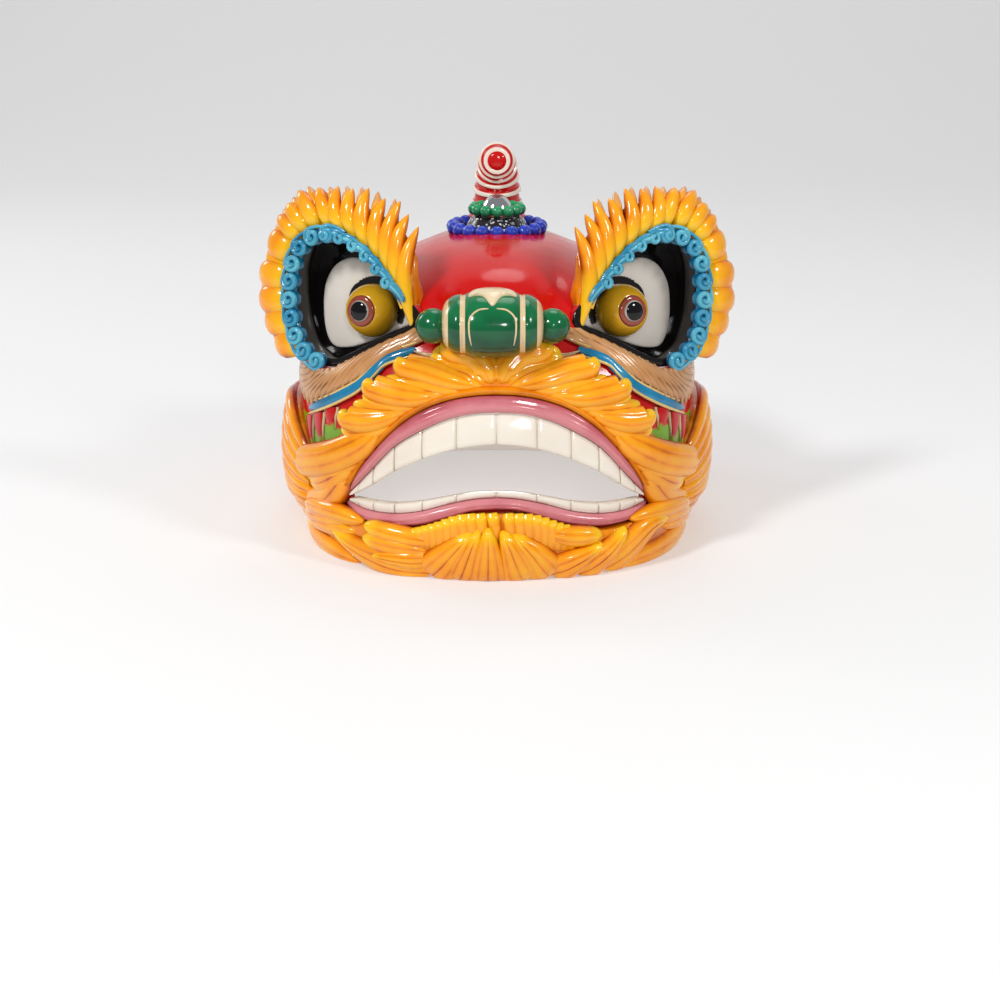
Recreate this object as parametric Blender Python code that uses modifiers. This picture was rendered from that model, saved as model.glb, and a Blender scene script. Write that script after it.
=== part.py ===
"""Glazed ceramic lion dance head, built for Blender 4.5.

The head is one hollow skull with an open mouth and an open base. Recessed eyes, a beaded crest,
a horn, a nose, lips, teeth, fur and curling manes are separate pieces seated on it.
Front is -Y, right of the viewer is +X, and the base rests on z = 0. Lengths are in metres.
"""
import math

import bmesh
import bpy
from mathutils import Matrix, Vector

MM = 0.001

# Skull: full width, height of the crown and how far it reaches in front of and behind its widest line
SKULL_WIDTH = 336 * MM
SKULL_HEIGHT = 243 * MM
SKULL_FRONT = 190 * MM
SKULL_BACK = 190 * MM
WIDEST_Y = 10 * MM
WALL = 6 * MM

# Gap kept between pieces that touch, the gap under a pad seated on the faceted skull, and how far
# a piece that is trimmed to the skull first reaches into it
CLEARANCE = 0.4 * MM
SEAT = 0.8 * MM
SINK = 3 * MM

# Eyes: size of the opening, turn of its face, depth of the recess and of the barrel behind it
EYE_WIDTH = 106 * MM
EYE_HEIGHT = 94 * MM
EYE_YAW = math.radians(27)
EYE_PITCH = math.radians(8.6)
EYE_RIM = 7 * MM
EYE_RECESS = 30 * MM
EYE_FLOOR = 4 * MM
EYE_BARREL = 88 * MM
EYE_BARREL_TAPER = 0.62
EYE_BARREL_DROP = 20 * MM
EYE_BARREL_WALL = 5 * MM
SCLERA_THICKNESS = 3 * MM
EYEBALL_RADIUS = 21.5 * MM
IRIS_RADIUS = 13 * MM
PUPIL_RADIUS = 9 * MM
IRIS_THICKNESS = 2 * MM
EYEBALL_SEAT = -EYE_RECESS + SCLERA_THICKNESS + 2 * CLEARANCE
EYEBALL_LIFT = 5 * MM

# Eye surround: scroll moulding in front of the rim and the ruff of petals round it
SCROLL_RADIUS = 7.6 * MM
SCROLL_THICKNESS = 7 * MM
SCROLL_PITCH = 15.5 * MM
RUFF_THICKNESS = 17 * MM
PETAL_RIDGE = 6 * MM

# Fur under the eye and the raised band below it
FUR_THICKNESS = 10 * MM
FUR_STRANDS = 9
FUR_LEAN = math.radians(5)
BAND_WIDTH = 8 * MM
BAND_THICKNESS = 3.2 * MM

# Nose: height of its middle as a share of the skull's, sizes, and the pointed pad above it
NOSE_Z = 0.810
NOSE_WIDTH = 84 * MM
NOSE_HEIGHT = 50 * MM
NOSE_REACH = 62 * MM
NOSTRIL_RADIUS = 14 * MM
NOSE_CREST_WIDTH = 42 * MM
NOSE_CREST_HEIGHT = 12 * MM
NOSE_CREST_THICKNESS = 4 * MM

# Horn, and the mirror boss with two rings of beads in front of it, started below the crown
CROWN_DEPTH = 8 * MM
HORN_HEIGHT = 79 * MM
HORN_LEAN = 38 * MM
HORN_RADIUS = 20 * MM
HORN_FLARE = 31 * MM
HORN_RIB = 1.6 * MM
HORN_Y = 62 * MM
BOSS_Y = 27 * MM
BOSS_RADIUS = 33 * MM
BOSS_TOP_RADIUS = 20 * MM
BOSS_HEIGHT = 21 * MM
MIRROR_RADIUS = 14 * MM
MIRROR_HEIGHT = 15 * MM
BLUE_BEAD_RADIUS = 6 * MM
GREEN_BEAD_RADIUS = 5.4 * MM

# Mouth
MOUTH_WIDTH = 240 * MM
LIP_THICKNESS = 8 * MM
TOOTH_THICKNESS = 12 * MM
TOOTH_GROOVE = 0.9 * MM

# Manes and beard
MANE_THICKNESS = 9 * MM
LOCK_WIDTH = 27 * MM
LOCK_THICKNESS = 17 * MM
BEARD_THICKNESS = 15 * MM
BEARD_LOCK_THICKNESS = 16 * MM
SIDE_MANE_THICKNESS = 24 * MM
SIDE_RIBS = 7

# Facets
SKULL_SEGMENTS = 30
SCREW_STEPS = 12
FLAT_ANGLE = math.radians(0.5)

# height, half width, front reach, back reach: shares of the skull's sizes; roundness is the
# exponent of the section, 2 for an ellipse and more for a squarer one
SKULL_SECTIONS = [
    # height, half_width, front, back, roundness
    (0.000, 0.881, 0.979, 0.905, 2.6),
    (0.123, 0.940, 1.000, 0.968, 2.6),
    (0.288, 0.988, 0.979, 1.000, 2.6),
    (0.453, 1.000, 0.947, 1.000, 2.6),
    (0.597, 0.970, 0.895, 0.968, 2.6),
    (0.700, 0.929, 0.821, 0.916, 2.5),
    (0.782, 0.845, 0.758, 0.842, 2.4),
    (0.844, 0.702, 0.705, 0.747, 2.2),
    (0.893, 0.548, 0.653, 0.653, 2.1),
    (0.938, 0.405, 0.563, 0.537, 2.0),
    (0.971, 0.286, 0.421, 0.389, 2.0),
    (0.992, 0.150, 0.230, 0.220, 2.0),
]

# Edge of the eye opening, from the inner corner over the top: shares of half its width and height
EYE_OPENING = [
    # across, up
    (-1.03, -0.26), (-0.85, 0.03), (-0.66, 0.26), (-0.44, 0.52), (-0.16, 0.78), (0.11, 0.94),
    (0.38, 1.02), (0.65, 0.98), (0.85, 0.83), (0.97, 0.58), (1.01, 0.27), (1.00, -0.07),
    (0.94, -0.42), (0.80, -0.78), (0.54, -0.98), (0.27, -1.00), (0.01, -0.88), (-0.44, -0.60),
]
SCROLL_LAST = 13

# Edge of the white of the eye, shares as above
SCLERA_EDGE = [
    # across, up
    (0.32, 0.72), (-0.01, 0.66), (-0.27, 0.42), (-0.54, 0.03), (-0.80, -0.26), (-0.44, -0.48),
    (0.05, -0.74), (0.36, -0.85), (0.62, -0.84), (0.77, -0.61), (0.84, -0.20), (0.83, 0.20),
    (0.71, 0.50), (0.53, 0.66),
]
EYEBALL_ACROSS = -0.11
EYEBALL_UP = -0.15

# Petals of the ruff: root and tip, shares of half the opening's width and height
PETALS = [
    # root_across, root_up, tip_across, tip_up
    (0.82, -0.83, 1.43, -0.91), (1.00, -0.51, 1.64, -0.53), (1.10, -0.14, 1.77, -0.16),
    (1.14, 0.25, 1.785, 0.30), (1.12, 0.68, 1.64, 0.92), (1.02, 0.95, 1.50, 1.33),
    (0.85, 1.12, 1.33, 1.62), (0.60, 1.18, 1.02, 1.88), (0.30, 1.16, 0.54, 1.90),
    (0.03, 1.07, 0.20, 1.94), (-0.24, 0.86, -0.14, 1.90), (-0.50, 0.62, -0.52, 1.78),
    (-0.70, 0.34, -0.76, 1.66), (-0.94, -0.05, -0.96, 1.34),
]

# Mouth, across as a share of half its width, heights as shares of the skull's height
MOUTH_ROWS = [
    # across, lip_top, upper_gum, upper_bite, lower_bite, lower_gum, lip_bottom
    (0.000, 0.580, 0.527, 0.428, 0.280, 0.259, 0.222),
    (0.150, 0.576, 0.523, 0.422, 0.276, 0.253, 0.216),
    (0.320, 0.560, 0.504, 0.405, 0.261, 0.235, 0.189),
    (0.500, 0.523, 0.463, 0.372, 0.241, 0.208, 0.165),
    (0.670, 0.457, 0.407, 0.327, 0.227, 0.193, 0.154),
    (0.830, 0.362, 0.317, 0.270, 0.222, 0.191, 0.158),
    (0.940, 0.272, 0.251, 0.232, 0.219, 0.200, 0.173),
    (1.000, 0.226, 0.216, 0.213, 0.211, 0.206, 0.196),
]
# Joints between teeth on one side of the middle, shares of half the mouth's width
TOOTH_JOINTS = [0.0, 0.26, 0.48, 0.66, 0.80, 0.90, 0.96]
MOUTH_END = 0.985

# Pads that carry the locks: turn in degrees from the front, heights as shares of the skull's height
MANE_PAD = [
    # turn, low, high
    (0, 0.592, 0.630), (6, 0.592, 0.650), (12, 0.578, 0.655), (18, 0.545, 0.640), (24, 0.480, 0.615),
    (30, 0.390, 0.580), (36, 0.300, 0.520), (42, 0.235, 0.450), (50, 0.190, 0.370), (58, 0.160, 0.320),
]
BEARD_PAD = [
    # turn, low, high
    (0, 0.0, 0.212), (6, 0.0, 0.205), (12, 0.0, 0.175), (20, 0.0, 0.150), (28, 0.0, 0.145),
    (36, 0.0, 0.160), (43, 0.0, 0.185), (52, 0.0, 0.165), (62, 0.0, 0.130), (74, 0.0, 0.090),
    (86, 0.0, 0.060),
]
SIDE_PAD = [
    # turn, low, high
    (61, 0.030, 0.380), (68, 0.030, 0.450), (76, 0.030, 0.480), (88, 0.030, 0.470), (102, 0.030, 0.420),
]
FUR_PAD = [
    # turn, low, high
    (20, 0.716, 0.745), (27, 0.690, 0.750), (34, 0.620, 0.740), (42, 0.570, 0.730), (50, 0.525, 0.730),
    (59, 0.490, 0.730), (70, 0.520, 0.720), (78, 0.575, 0.700),
]
BAND_LINE = [
    # turn, height
    (19, 0.706), (27, 0.672), (30, 0.640), (35, 0.588), (42, 0.546), (50, 0.508), (60, 0.468),
]

# Locks of the manes: points from root to tip, turn in degrees and height share, then width share
UPPER_LOCKS = [
    # (turn, height) from root to tip, width_share
    ([(2, 0.600), (5, 0.645), (10, 0.672), (16, 0.662)], 0.75),
    ([(6, 0.590), (13, 0.605), (21, 0.632), (27, 0.645)], 0.95),
    ([(11, 0.565), (20, 0.572), (28, 0.598), (36, 0.580)], 0.95),
    ([(17, 0.535), (24, 0.528), (32, 0.538), (37, 0.528)], 0.80),
    ([(20, 0.500), (27, 0.478), (35, 0.480), (41, 0.484)], 0.90),
    ([(24, 0.430), (31, 0.392), (44, 0.340), (62, 0.300)], 1.05),
    ([(32, 0.345), (39, 0.275), (52, 0.200), (72, 0.155)], 1.25),
]
BEARD_LOCKS = [
    # (turn, height) from root to tip, width_share
    ([(-10, 0.030), (-6, 0.100), (-3, 0.160)], 1.00),
    ([(0, 0.015), (0, 0.090), (0, 0.160)], 1.00),
    ([(10, 0.040), (5, 0.105), (3, 0.155)], 1.00),
    ([(-15, 0.045), (-22, 0.060), (-28, 0.075), (-35, 0.080)], 0.75),
    ([(-29, 0.018), (-34, 0.050), (-38, 0.100), (-45, 0.125)], 0.75),
    ([(-14, 0.115), (-21, 0.118), (-29, 0.130)], 0.60),
    ([(-38, 0.130), (-50, 0.105), (-70, 0.065)], 0.75),
    ([(-50, 0.012), (-55, 0.030), (-62, 0.060)], 0.70),
    ([(11, 0.054), (17, 0.085), (24, 0.117)], 0.80),
    ([(19, 0.024), (25, 0.083), (31, 0.145)], 0.80),
    ([(26, 0.025), (31, 0.095), (37, 0.155), (45, 0.158)], 0.90),
    ([(38, 0.032), (48, 0.075), (70, 0.065)], 0.85),
]

COLOURS = {
    # red, green, blue, roughness, metallic
    "red": (0.62, 0.015, 0.015, 0.12, 0.0),
    "orange": (0.90, 0.36, 0.02, 0.15, 0.0),
    "tan": (0.50, 0.27, 0.10, 0.18, 0.0),
    "scroll_blue": (0.02, 0.32, 0.55, 0.15, 0.0),
    "black": (0.010, 0.008, 0.008, 0.10, 0.0),
    "white": (0.80, 0.75, 0.68, 0.15, 0.0),
    "ochre": (0.62, 0.33, 0.02, 0.12, 0.0),
    "maroon": (0.20, 0.04, 0.03, 0.12, 0.0),
    "green": (0.00, 0.17, 0.07, 0.10, 0.0),
    "cream": (0.68, 0.55, 0.36, 0.15, 0.0),
    "silver": (0.75, 0.77, 0.80, 0.12, 0.9),
    "bead_green": (0.01, 0.28, 0.13, 0.08, 0.0),
    "bead_blue": (0.01, 0.03, 0.35, 0.08, 0.0),
    "lip_pink": (0.52, 0.13, 0.15, 0.15, 0.0),
    "tooth": (0.80, 0.74, 0.66, 0.12, 0.0),
}

PARTS = bpy.data.collections.new("lion_dance_head")
CUTTERS = bpy.data.collections.new("cutters")


# Helpers for numbers

def mix(a, b, t):
    return a + (b - a) * t


def table(rows, value):
    """Row of a table at a value of its first column, read on straight lines between rows."""
    if value <= rows[0][0]:
        return rows[0][1:]
    for low, high in zip(rows, rows[1:]):
        if value <= high[0]:
            t = (value - low[0]) / (high[0] - low[0])
            return tuple(mix(a, b, t) for a, b in zip(low[1:], high[1:]))
    return rows[-1][1:]


def smooth(points, count):
    """Points spread evenly along a smooth curve through the given ones."""
    last = len(points) - 1
    result = []
    for i in range(count):
        place = last * i / (count - 1)
        k = min(int(place), last - 1)
        t = place - k
        p0, p1, p2, p3 = (points[min(max(k + j, 0), last)] for j in (-1, 0, 1, 2))
        result.append(tuple(
            0.5 * (2 * b + (c - a) * t + (2 * a - 5 * b + 4 * c - d) * t * t
                   + (3 * b - a - 3 * c + d) * t ** 3)
            for a, b, c, d in zip(p0, p1, p2, p3)))
    return result


# Helpers for objects

def add_object(name, mesh, collection=PARTS):
    obj = bpy.data.objects.new(name, mesh)
    collection.objects.link(obj)
    return obj


def as_cutter(obj):
    if obj.name in PARTS.objects:
        PARTS.objects.unlink(obj)
        CUTTERS.objects.link(obj)
    obj.hide_render = True
    obj.display_type = "WIRE"
    return obj


def mesh_from(bm, name):
    bmesh.ops.recalc_face_normals(bm, faces=bm.faces)
    mesh = bpy.data.meshes.new(name)
    bm.to_mesh(mesh)
    bm.free()
    return mesh


def loft(name, rings, closed=False, collection=PARTS):
    """Solid through rings of points; its ends are capped unless it closes on itself."""
    bm = bmesh.new()
    loops = [[bm.verts.new(point) for point in ring] for ring in rings]
    pairs = list(zip(loops, loops[1:]))
    if closed:
        pairs.append((loops[-1], loops[0]))
    for low, high in pairs:
        for i in range(len(low)):
            j = (i + 1) % len(low)
            bm.faces.new((low[i], low[j], high[j], high[i]))
    if not closed:
        bm.faces.new(list(reversed(loops[0])))
        bm.faces.new(loops[-1])
    return add_object(name, mesh_from(bm, name), collection)


def bake(obj):
    """Replaces an object's mesh by what its modifiers make, cleaned and cut to its main body."""
    mesh = bpy.data.meshes.new_from_object(obj.evaluated_get(bpy.context.evaluated_depsgraph_get()))
    obj.modifiers.clear()
    bm = bmesh.new()
    bm.from_mesh(mesh)
    bmesh.ops.remove_doubles(bm, verts=bm.verts, dist=0.001 * MM)
    bmesh.ops.dissolve_limit(bm, angle_limit=FLAT_ANGLE, verts=bm.verts, edges=bm.edges)
    bmesh.ops.triangulate(bm, faces=bm.faces)
    keep_main_body(bm)
    bm.to_mesh(mesh)
    bm.free()
    obj.data = mesh
    return obj


def keep_main_body(bm):
    """Deletes the crumbs that a cut leaves beside the main body."""
    waiting = set(bm.faces)
    bodies = []
    while waiting:
        seed = waiting.pop()
        body = [seed]
        edge_faces = [seed]
        while edge_faces:
            face = edge_faces.pop()
            for edge in face.edges:
                for other in edge.link_faces:
                    if other in waiting:
                        waiting.remove(other)
                        body.append(other)
                        edge_faces.append(other)
        bodies.append(body)
    bodies.sort(key=lambda body: sum(face.calc_area() for face in body))
    crumbs = [face for body in bodies[:-1] for face in body]
    bmesh.ops.delete(bm, geom=crumbs, context="FACES")
    loose = [vert for vert in bm.verts if not vert.link_faces]
    bmesh.ops.delete(bm, geom=loose, context="VERTS")


def boolean(obj, operand, operation):
    modifier = obj.modifiers.new(operation.lower(), "BOOLEAN")
    modifier.operation = operation
    modifier.object = operand
    return modifier


def unite(obj, others):
    """Fuses other solids into an object and removes them."""
    for other in others:
        boolean(obj, other, "UNION")
        bake(obj)
        bpy.data.objects.remove(other)
    return obj


def thin(obj, share):
    """Lowers the number of facets of a fused form to a share of it."""
    modifier = obj.modifiers.new("thin", "DECIMATE")
    modifier.ratio = share
    return bake(obj)


def reach_of(obj):
    """Lowest and highest corners of an object in the world."""
    corners = [obj.matrix_world @ Vector(corner) for corner in obj.bound_box]
    low = [min(corner[i] for corner in corners) for i in range(3)]
    high = [max(corner[i] for corner in corners) for i in range(3)]
    return low, high


def near(one, other, gap):
    low, high = reach_of(one)
    other_low, other_high = reach_of(other)
    return all(low[i] <= other_high[i] + gap and other_low[i] <= high[i] + gap for i in range(3))


def trim(obj, neighbours, gap=CLEARANCE):
    """Cuts an object back from its neighbours, leaving a gap all round them."""
    for neighbour in neighbours:
        if not near(obj, neighbour, gap):
            continue
        cutter = as_cutter(add_object("room_for_" + neighbour.name, neighbour.data.copy()))
        cutter.matrix_world = neighbour.matrix_world
        grow = cutter.modifiers.new("grow", "DISPLACE")
        grow.strength = gap
        grow.mid_level = 0.0
        boolean(obj, cutter, "DIFFERENCE")
        bake(obj)
    return obj


def turned(name, profile, place, steps=SCREW_STEPS):
    """Solid turned round the local Z axis from (radius, height) points, bottom to top."""
    mesh = bpy.data.meshes.new(name)
    points = [(radius, 0.0, height) for radius, height in reversed(profile)]
    mesh.from_pydata(points, [(i, i + 1) for i in range(len(points) - 1)], [])
    obj = add_object(name, mesh)
    obj.matrix_world = place
    screw = obj.modifiers.new("turn", "SCREW")
    screw.steps = steps
    screw.render_steps = steps
    screw.use_merge_vertices = True
    screw.merge_threshold = 0.05 * MM
    return obj


def paint(obj, colour):
    """Gives an object a glossy material of its own."""
    red, green, blue, roughness, metallic = COLOURS[colour]
    material = bpy.data.materials.new(obj.name)
    material.use_nodes = True
    shader = material.node_tree.nodes["Principled BSDF"]
    shader.inputs["Base Color"].default_value = (red, green, blue, 1.0)
    shader.inputs["Roughness"].default_value = roughness
    shader.inputs["Metallic"].default_value = metallic
    obj.data.materials.clear()
    obj.data.materials.append(material)
    return obj


# The skull's surface

def skull_section(height):
    half, front, back, roundness = table(SKULL_SECTIONS, height)
    return half * SKULL_WIDTH / 2, front * SKULL_FRONT, back * SKULL_BACK, roundness


def skull_point(turn, height):
    """Point of the skull at a turn in radians from the front, + to the right, and a height share."""
    half, front, back, roundness = skull_section(height)
    side = math.sin(turn)
    ahead = math.cos(turn)
    x = half * math.copysign(abs(side) ** (2 / roundness), side)
    reach = front if ahead > 0 else back
    y = WIDEST_Y - reach * math.copysign(abs(ahead) ** (2 / roundness), ahead)
    return Vector((x, y, height * SKULL_HEIGHT))


def skull_normal(turn, height):
    step = 0.01
    across = skull_point(turn + step, height) - skull_point(turn - step, height)
    up = skull_point(turn, height + step) - skull_point(turn, height - step)
    return across.cross(up).normalized()


def on_skull(turn, height, lift):
    """Point lifted off the skull; below the base it is brought back to the floor."""
    point = skull_point(turn, height) + skull_normal(turn, max(height, 0.02)) * lift
    point.z = max(point.z, 0.0)
    return point


def turn_at(x, height):
    half, front, back, roundness = skull_section(height)
    return math.copysign(math.asin(min(abs(x) / half, 1.0) ** (roundness / 2)), x)


def on_face(x, height, lift):
    return on_skull(turn_at(x, height), height, lift)


def skull_ring(height, lift, segments):
    ring = []
    for i in range(segments):
        turn = 2 * math.pi * (i + 0.5) / segments
        ring.append(skull_point(turn, height) + skull_normal(turn, height) * lift)
    return ring


def skull_body(name, lift, segments=SKULL_SEGMENTS, sections=SKULL_SECTIONS):
    """Closed solid of the skull's form, its base carried below the floor."""
    rings = [skull_ring(section[0], lift, segments) for section in sections]
    foot = [Vector((point.x, point.y, -4 * WALL)) for point in rings[0]]
    return loft(name, [foot] + rings)


# The eye's own frame: across points outwards, up points up and out comes out of the face

def eye_axes(side):
    out = Vector((side * math.sin(EYE_YAW) * math.cos(EYE_PITCH),
                  -math.cos(EYE_YAW) * math.cos(EYE_PITCH), math.sin(EYE_PITCH)))
    across = Vector((side * math.cos(EYE_YAW), math.sin(EYE_YAW), 0.0))
    up = across.cross(out) * -side
    return across, up, out


def eye_centre(side):
    return Vector((side * 0.685 * SKULL_WIDTH / 2, WIDEST_Y - 0.566 * SKULL_FRONT, 0.831 * SKULL_HEIGHT))


def eye_point(side, across_share, up_share, out_by):
    across, up, out = eye_axes(side)
    return (eye_centre(side) + across * (across_share * EYE_WIDTH / 2)
            + up * (up_share * EYE_HEIGHT / 2) + out * out_by)


def eye_matrix(side, across_share, up_share, out_by):
    across, up, out = eye_axes(side)
    frame = Matrix((across * side, up, out)).transposed().to_4x4()
    frame.translation = eye_point(side, across_share, up_share, out_by)
    return frame


def eye_outline(by):
    """Opening's edge moved outwards by a length, as shares of the opening's half sizes."""
    half_width = EYE_WIDTH / 2
    half_height = EYE_HEIGHT / 2
    flat = [Vector((across * half_width, up * half_height)) for across, up in EYE_OPENING]
    result = []
    for i, point in enumerate(flat):
        before = (point - flat[i - 1]).normalized()
        after = (flat[(i + 1) % len(flat)] - point).normalized()
        along = (before + after).normalized()
        spread = by / max(0.5, math.sqrt((1 + before.dot(after)) / 2))
        moved = point + Vector((-along.y, along.x)) * spread
        result.append((moved.x / half_width, moved.y / half_height))
    return result


def eye_ring(side, by, out_by):
    return [eye_point(side, across, up, out_by) for across, up in eye_outline(by)]


def barrel_end(side, by):
    """Smaller ring at the barrel's back end, dropped to lie inside the skull."""
    drop = EYE_BARREL_DROP / (EYE_HEIGHT / 2)
    return [eye_point(side, across * EYE_BARREL_TAPER, up * EYE_BARREL_TAPER - drop, -EYE_BARREL)
            for across, up in eye_outline(by)]


def eye_socket(name, side):
    """Cup for the eye: recess in front, floor, and an open barrel that runs into the skull."""
    inner = EYE_RIM - EYE_BARREL_WALL
    back_of_floor = -EYE_RECESS - EYE_FLOOR
    rings = [
        eye_ring(side, 0.0, -EYE_RECESS),
        eye_ring(side, 0.0, -CLEARANCE),
        eye_ring(side, EYE_RIM, -CLEARANCE),
        eye_ring(side, EYE_RIM, back_of_floor),
        barrel_end(side, EYE_RIM),
        barrel_end(side, inner),
        eye_ring(side, inner, back_of_floor),
    ]
    return loft(name, rings)


def eye_barrel(name, side):
    """Outer form of the socket, carried out past the eye's face."""
    rings = [eye_ring(side, EYE_RIM, EYE_RIM), eye_ring(side, EYE_RIM, -EYE_RECESS - EYE_FLOOR),
             barrel_end(side, EYE_RIM)]
    return as_cutter(loft(name, rings))


def sclera(name, side):
    """White of the eye, a slightly domed plate on the recess floor."""
    floor = -EYE_RECESS + CLEARANCE
    rings = []
    for scale, height in ((1.0, 0.0), (1.0, 0.6), (0.94, 1.0)):
        rings.append([eye_point(side, across * scale, up * scale, floor + height * SCLERA_THICKNESS)
                      for across, up in SCLERA_EDGE])
    return loft(name, rings)


def eyeball(name, side):
    """Ball with a flat seat on the white of the eye and a flat for the iris."""
    iris_height = math.sqrt(EYEBALL_RADIUS ** 2 - IRIS_RADIUS ** 2)
    profile = [(0.0, 0.0), (math.sqrt(EYEBALL_RADIUS ** 2 - EYEBALL_LIFT ** 2), 0.0)]
    start = -math.asin(EYEBALL_LIFT / EYEBALL_RADIUS)
    end = math.asin(iris_height / EYEBALL_RADIUS)
    steps = 4
    for i in range(1, steps + 1):
        angle = mix(start, end, i / steps)
        profile.append((EYEBALL_RADIUS * math.cos(angle), EYEBALL_LIFT + EYEBALL_RADIUS * math.sin(angle)))
    profile.append((0.0, EYEBALL_LIFT + iris_height))
    place = eye_matrix(side, EYEBALL_ACROSS, EYEBALL_UP, EYEBALL_SEAT)
    return turned(name, profile, place), EYEBALL_LIFT + iris_height


def iris(name, side, height):
    edge = IRIS_RADIUS - CLEARANCE
    profile = [(0.0, 0.0), (edge, 0.0), (edge - 0.6 * MM, 0.6 * IRIS_THICKNESS),
               (PUPIL_RADIUS, IRIS_THICKNESS), (0.0, IRIS_THICKNESS)]
    base = EYEBALL_SEAT + height + CLEARANCE
    return turned(name, profile, eye_matrix(side, EYEBALL_ACROSS, EYEBALL_UP, base))


def pupil(name, side, height):
    bulge = 0.38 * PUPIL_RADIUS
    edge = PUPIL_RADIUS - CLEARANCE
    profile = [(0.0, 0.0), (edge, 0.0), (0.87 * edge, 0.55 * bulge), (0.5 * edge, 0.9 * bulge), (0.0, bulge)]
    base = EYEBALL_SEAT + height + IRIS_THICKNESS + 2 * CLEARANCE
    return turned(name, profile, eye_matrix(side, EYEBALL_ACROSS, EYEBALL_UP, base))


def scroll_line():
    """Middle line of the scroll moulding in metres, from the inner corner to the outer foot."""
    return [Vector((across * EYE_WIDTH / 2, up * EYE_HEIGHT / 2))
            for across, up in eye_outline(EYE_RIM * 0.55)[:SCROLL_LAST + 1]]


def place_on_line(line, distance):
    """Point at a distance along a flat line, and the line's direction there."""
    for before, after in zip(line, line[1:]):
        step = (after - before).length
        if distance <= step:
            return before.lerp(after, distance / step), (after - before).normalized()
        distance -= step
    return line[-1], (line[-1] - line[-2]).normalized()


def scroll_rim(name, side):
    """Raised moulding on the rim that swells at every scroll end."""
    line = scroll_line()
    length = sum((after - before).length for before, after in zip(line, line[1:]))
    count = int(length / SCROLL_PITCH)
    section = [(-1.0, 0.0), (-0.75, 0.9), (0.0, 1.0), (0.75, 0.9), (1.0, 0.0)]
    rings = []
    for i in range(2 * count + 1):
        swell = 1.0 if i % 2 else 0.6
        point, along = place_on_line(line, length * i / (2 * count))
        ring = []
        for sideways, height in section:
            spot = point + Vector((-along.y, along.x)) * sideways * swell * SCROLL_RADIUS
            ring.append(eye_point(side, spot.x / (EYE_WIDTH / 2), spot.y / (EYE_HEIGHT / 2),
                                  height * swell * SCROLL_THICKNESS))
        rings.append(ring)
    return loft(name, rings)


# Strands, locks and pads

# place along a lock, width and thickness there as shares of its own
LOCK_SHAPE = [
    # place, width, thickness
    (0.00, 0.45, 0.55), (0.25, 0.92, 0.90), (0.50, 1.00, 1.00), (0.75, 0.72, 0.80), (1.00, 0.10, 0.20),
]


def strand(name, centres, normals, width, thickness, shape=LOCK_SHAPE):
    """Tapered five-sided lock of hair along points."""
    rings = []
    last = len(centres) - 1
    for i, (centre, normal) in enumerate(zip(centres, normals)):
        along = (centres[min(i + 1, last)] - centres[max(i - 1, 0)]).normalized()
        across = along.cross(normal).normalized()
        out = across.cross(along)
        wide, deep = table(shape, i / last)
        ring = []
        for sideways, height in ((-1.0, 0.0), (-0.5, 0.9), (0.5, 0.9), (1.0, 0.0), (0.0, -0.7)):
            ring.append(centre + across * sideways * wide * width / 2 + out * height * deep * thickness / 2)
        rings.append(ring)
    return loft(name, rings)


def skull_lock(name, route, width, thickness, lift, tip_lift, rows=5):
    """Lock that lies along a route on the skull and stands off it more towards its tip."""
    centres = []
    normals = []
    for i, (turn, height) in enumerate(smooth(route, rows)):
        angle = math.radians(turn)
        centres.append(on_skull(angle, height, mix(lift, tip_lift, (i / (rows - 1)) ** 2)))
        normals.append(skull_normal(angle, max(height, 0.02)))
    return strand(name, centres, normals, width, thickness)


def pad(name, rows, thickness, turns, sides=(1,), edge=0.35, levels=(0.0, 0.3, 0.7, 1.0)):
    """Low cushion on the skull between two heights given over a range of turns."""
    rings = []
    for k in range(turns + 1):
        turn = mix(rows[0][0], rows[-1][0], k / turns)
        low, high = table(rows, turn)
        fade = 1.0 if 0 < k < turns else edge
        outer = []
        for level in levels:
            dome = mix(edge, 1.0, math.sin(math.pi * level) ** 0.5 if 0 < level < 1 else 0.0)
            outer.append(on_skull(math.radians(turn), mix(low, high, level), thickness * dome * fade))
        inner = [on_skull(math.radians(turn), mix(low, high, level), SEAT) for level in (1.0, 0.5, 0.0)]
        rings.append(outer + inner)
    return loft(name, rings)


def mirrored_rows(rows):
    """Table over both sides from one over the right side, whose first row is at the middle."""
    return [(-row[0],) + tuple(row[1:]) for row in reversed(rows[1:])] + list(rows)


def ruff(name, side):
    """Flaring ring of petals round the eye, behind the scrolls: a ridge down each petal."""
    inward = 0.88
    rings = []
    for i, (root_across, root_up, tip_across, tip_up) in enumerate(PETALS):
        if i > 0:
            before = PETALS[i - 1]
            root = (mix(before[0], root_across, 0.5), mix(before[1], root_up, 0.5))
            tip = (mix(before[2], tip_across, 0.5), mix(before[3], tip_up, 0.5))
            rings.append(ruff_ring(side, root, (mix(root[0], tip[0], 0.62), mix(root[1], tip[1], 0.62)),
                                   inward, -PETAL_RIDGE))
        rings.append(ruff_ring(side, (root_across, root_up), (tip_across, tip_up), inward, 0.0))
    return loft(name, rings)


def ruff_ring(side, root, tip, inward, ridge):
    def spot(t, out_by):
        return eye_point(side, mix(root[0], tip[0], t), mix(root[1], tip[1], t), out_by)
    front = -2.5 * CLEARANCE
    across = root[0] * inward
    up = root[1] * inward
    return [
        eye_point(side, across, up, front), spot(0.0, front), spot(0.5, front + 0.6 * ridge),
        spot(1.0, -0.55 * RUFF_THICKNESS), spot(0.5, -RUFF_THICKNESS),
        eye_point(side, across, up, -1.5 * RUFF_THICKNESS),
    ]


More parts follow.
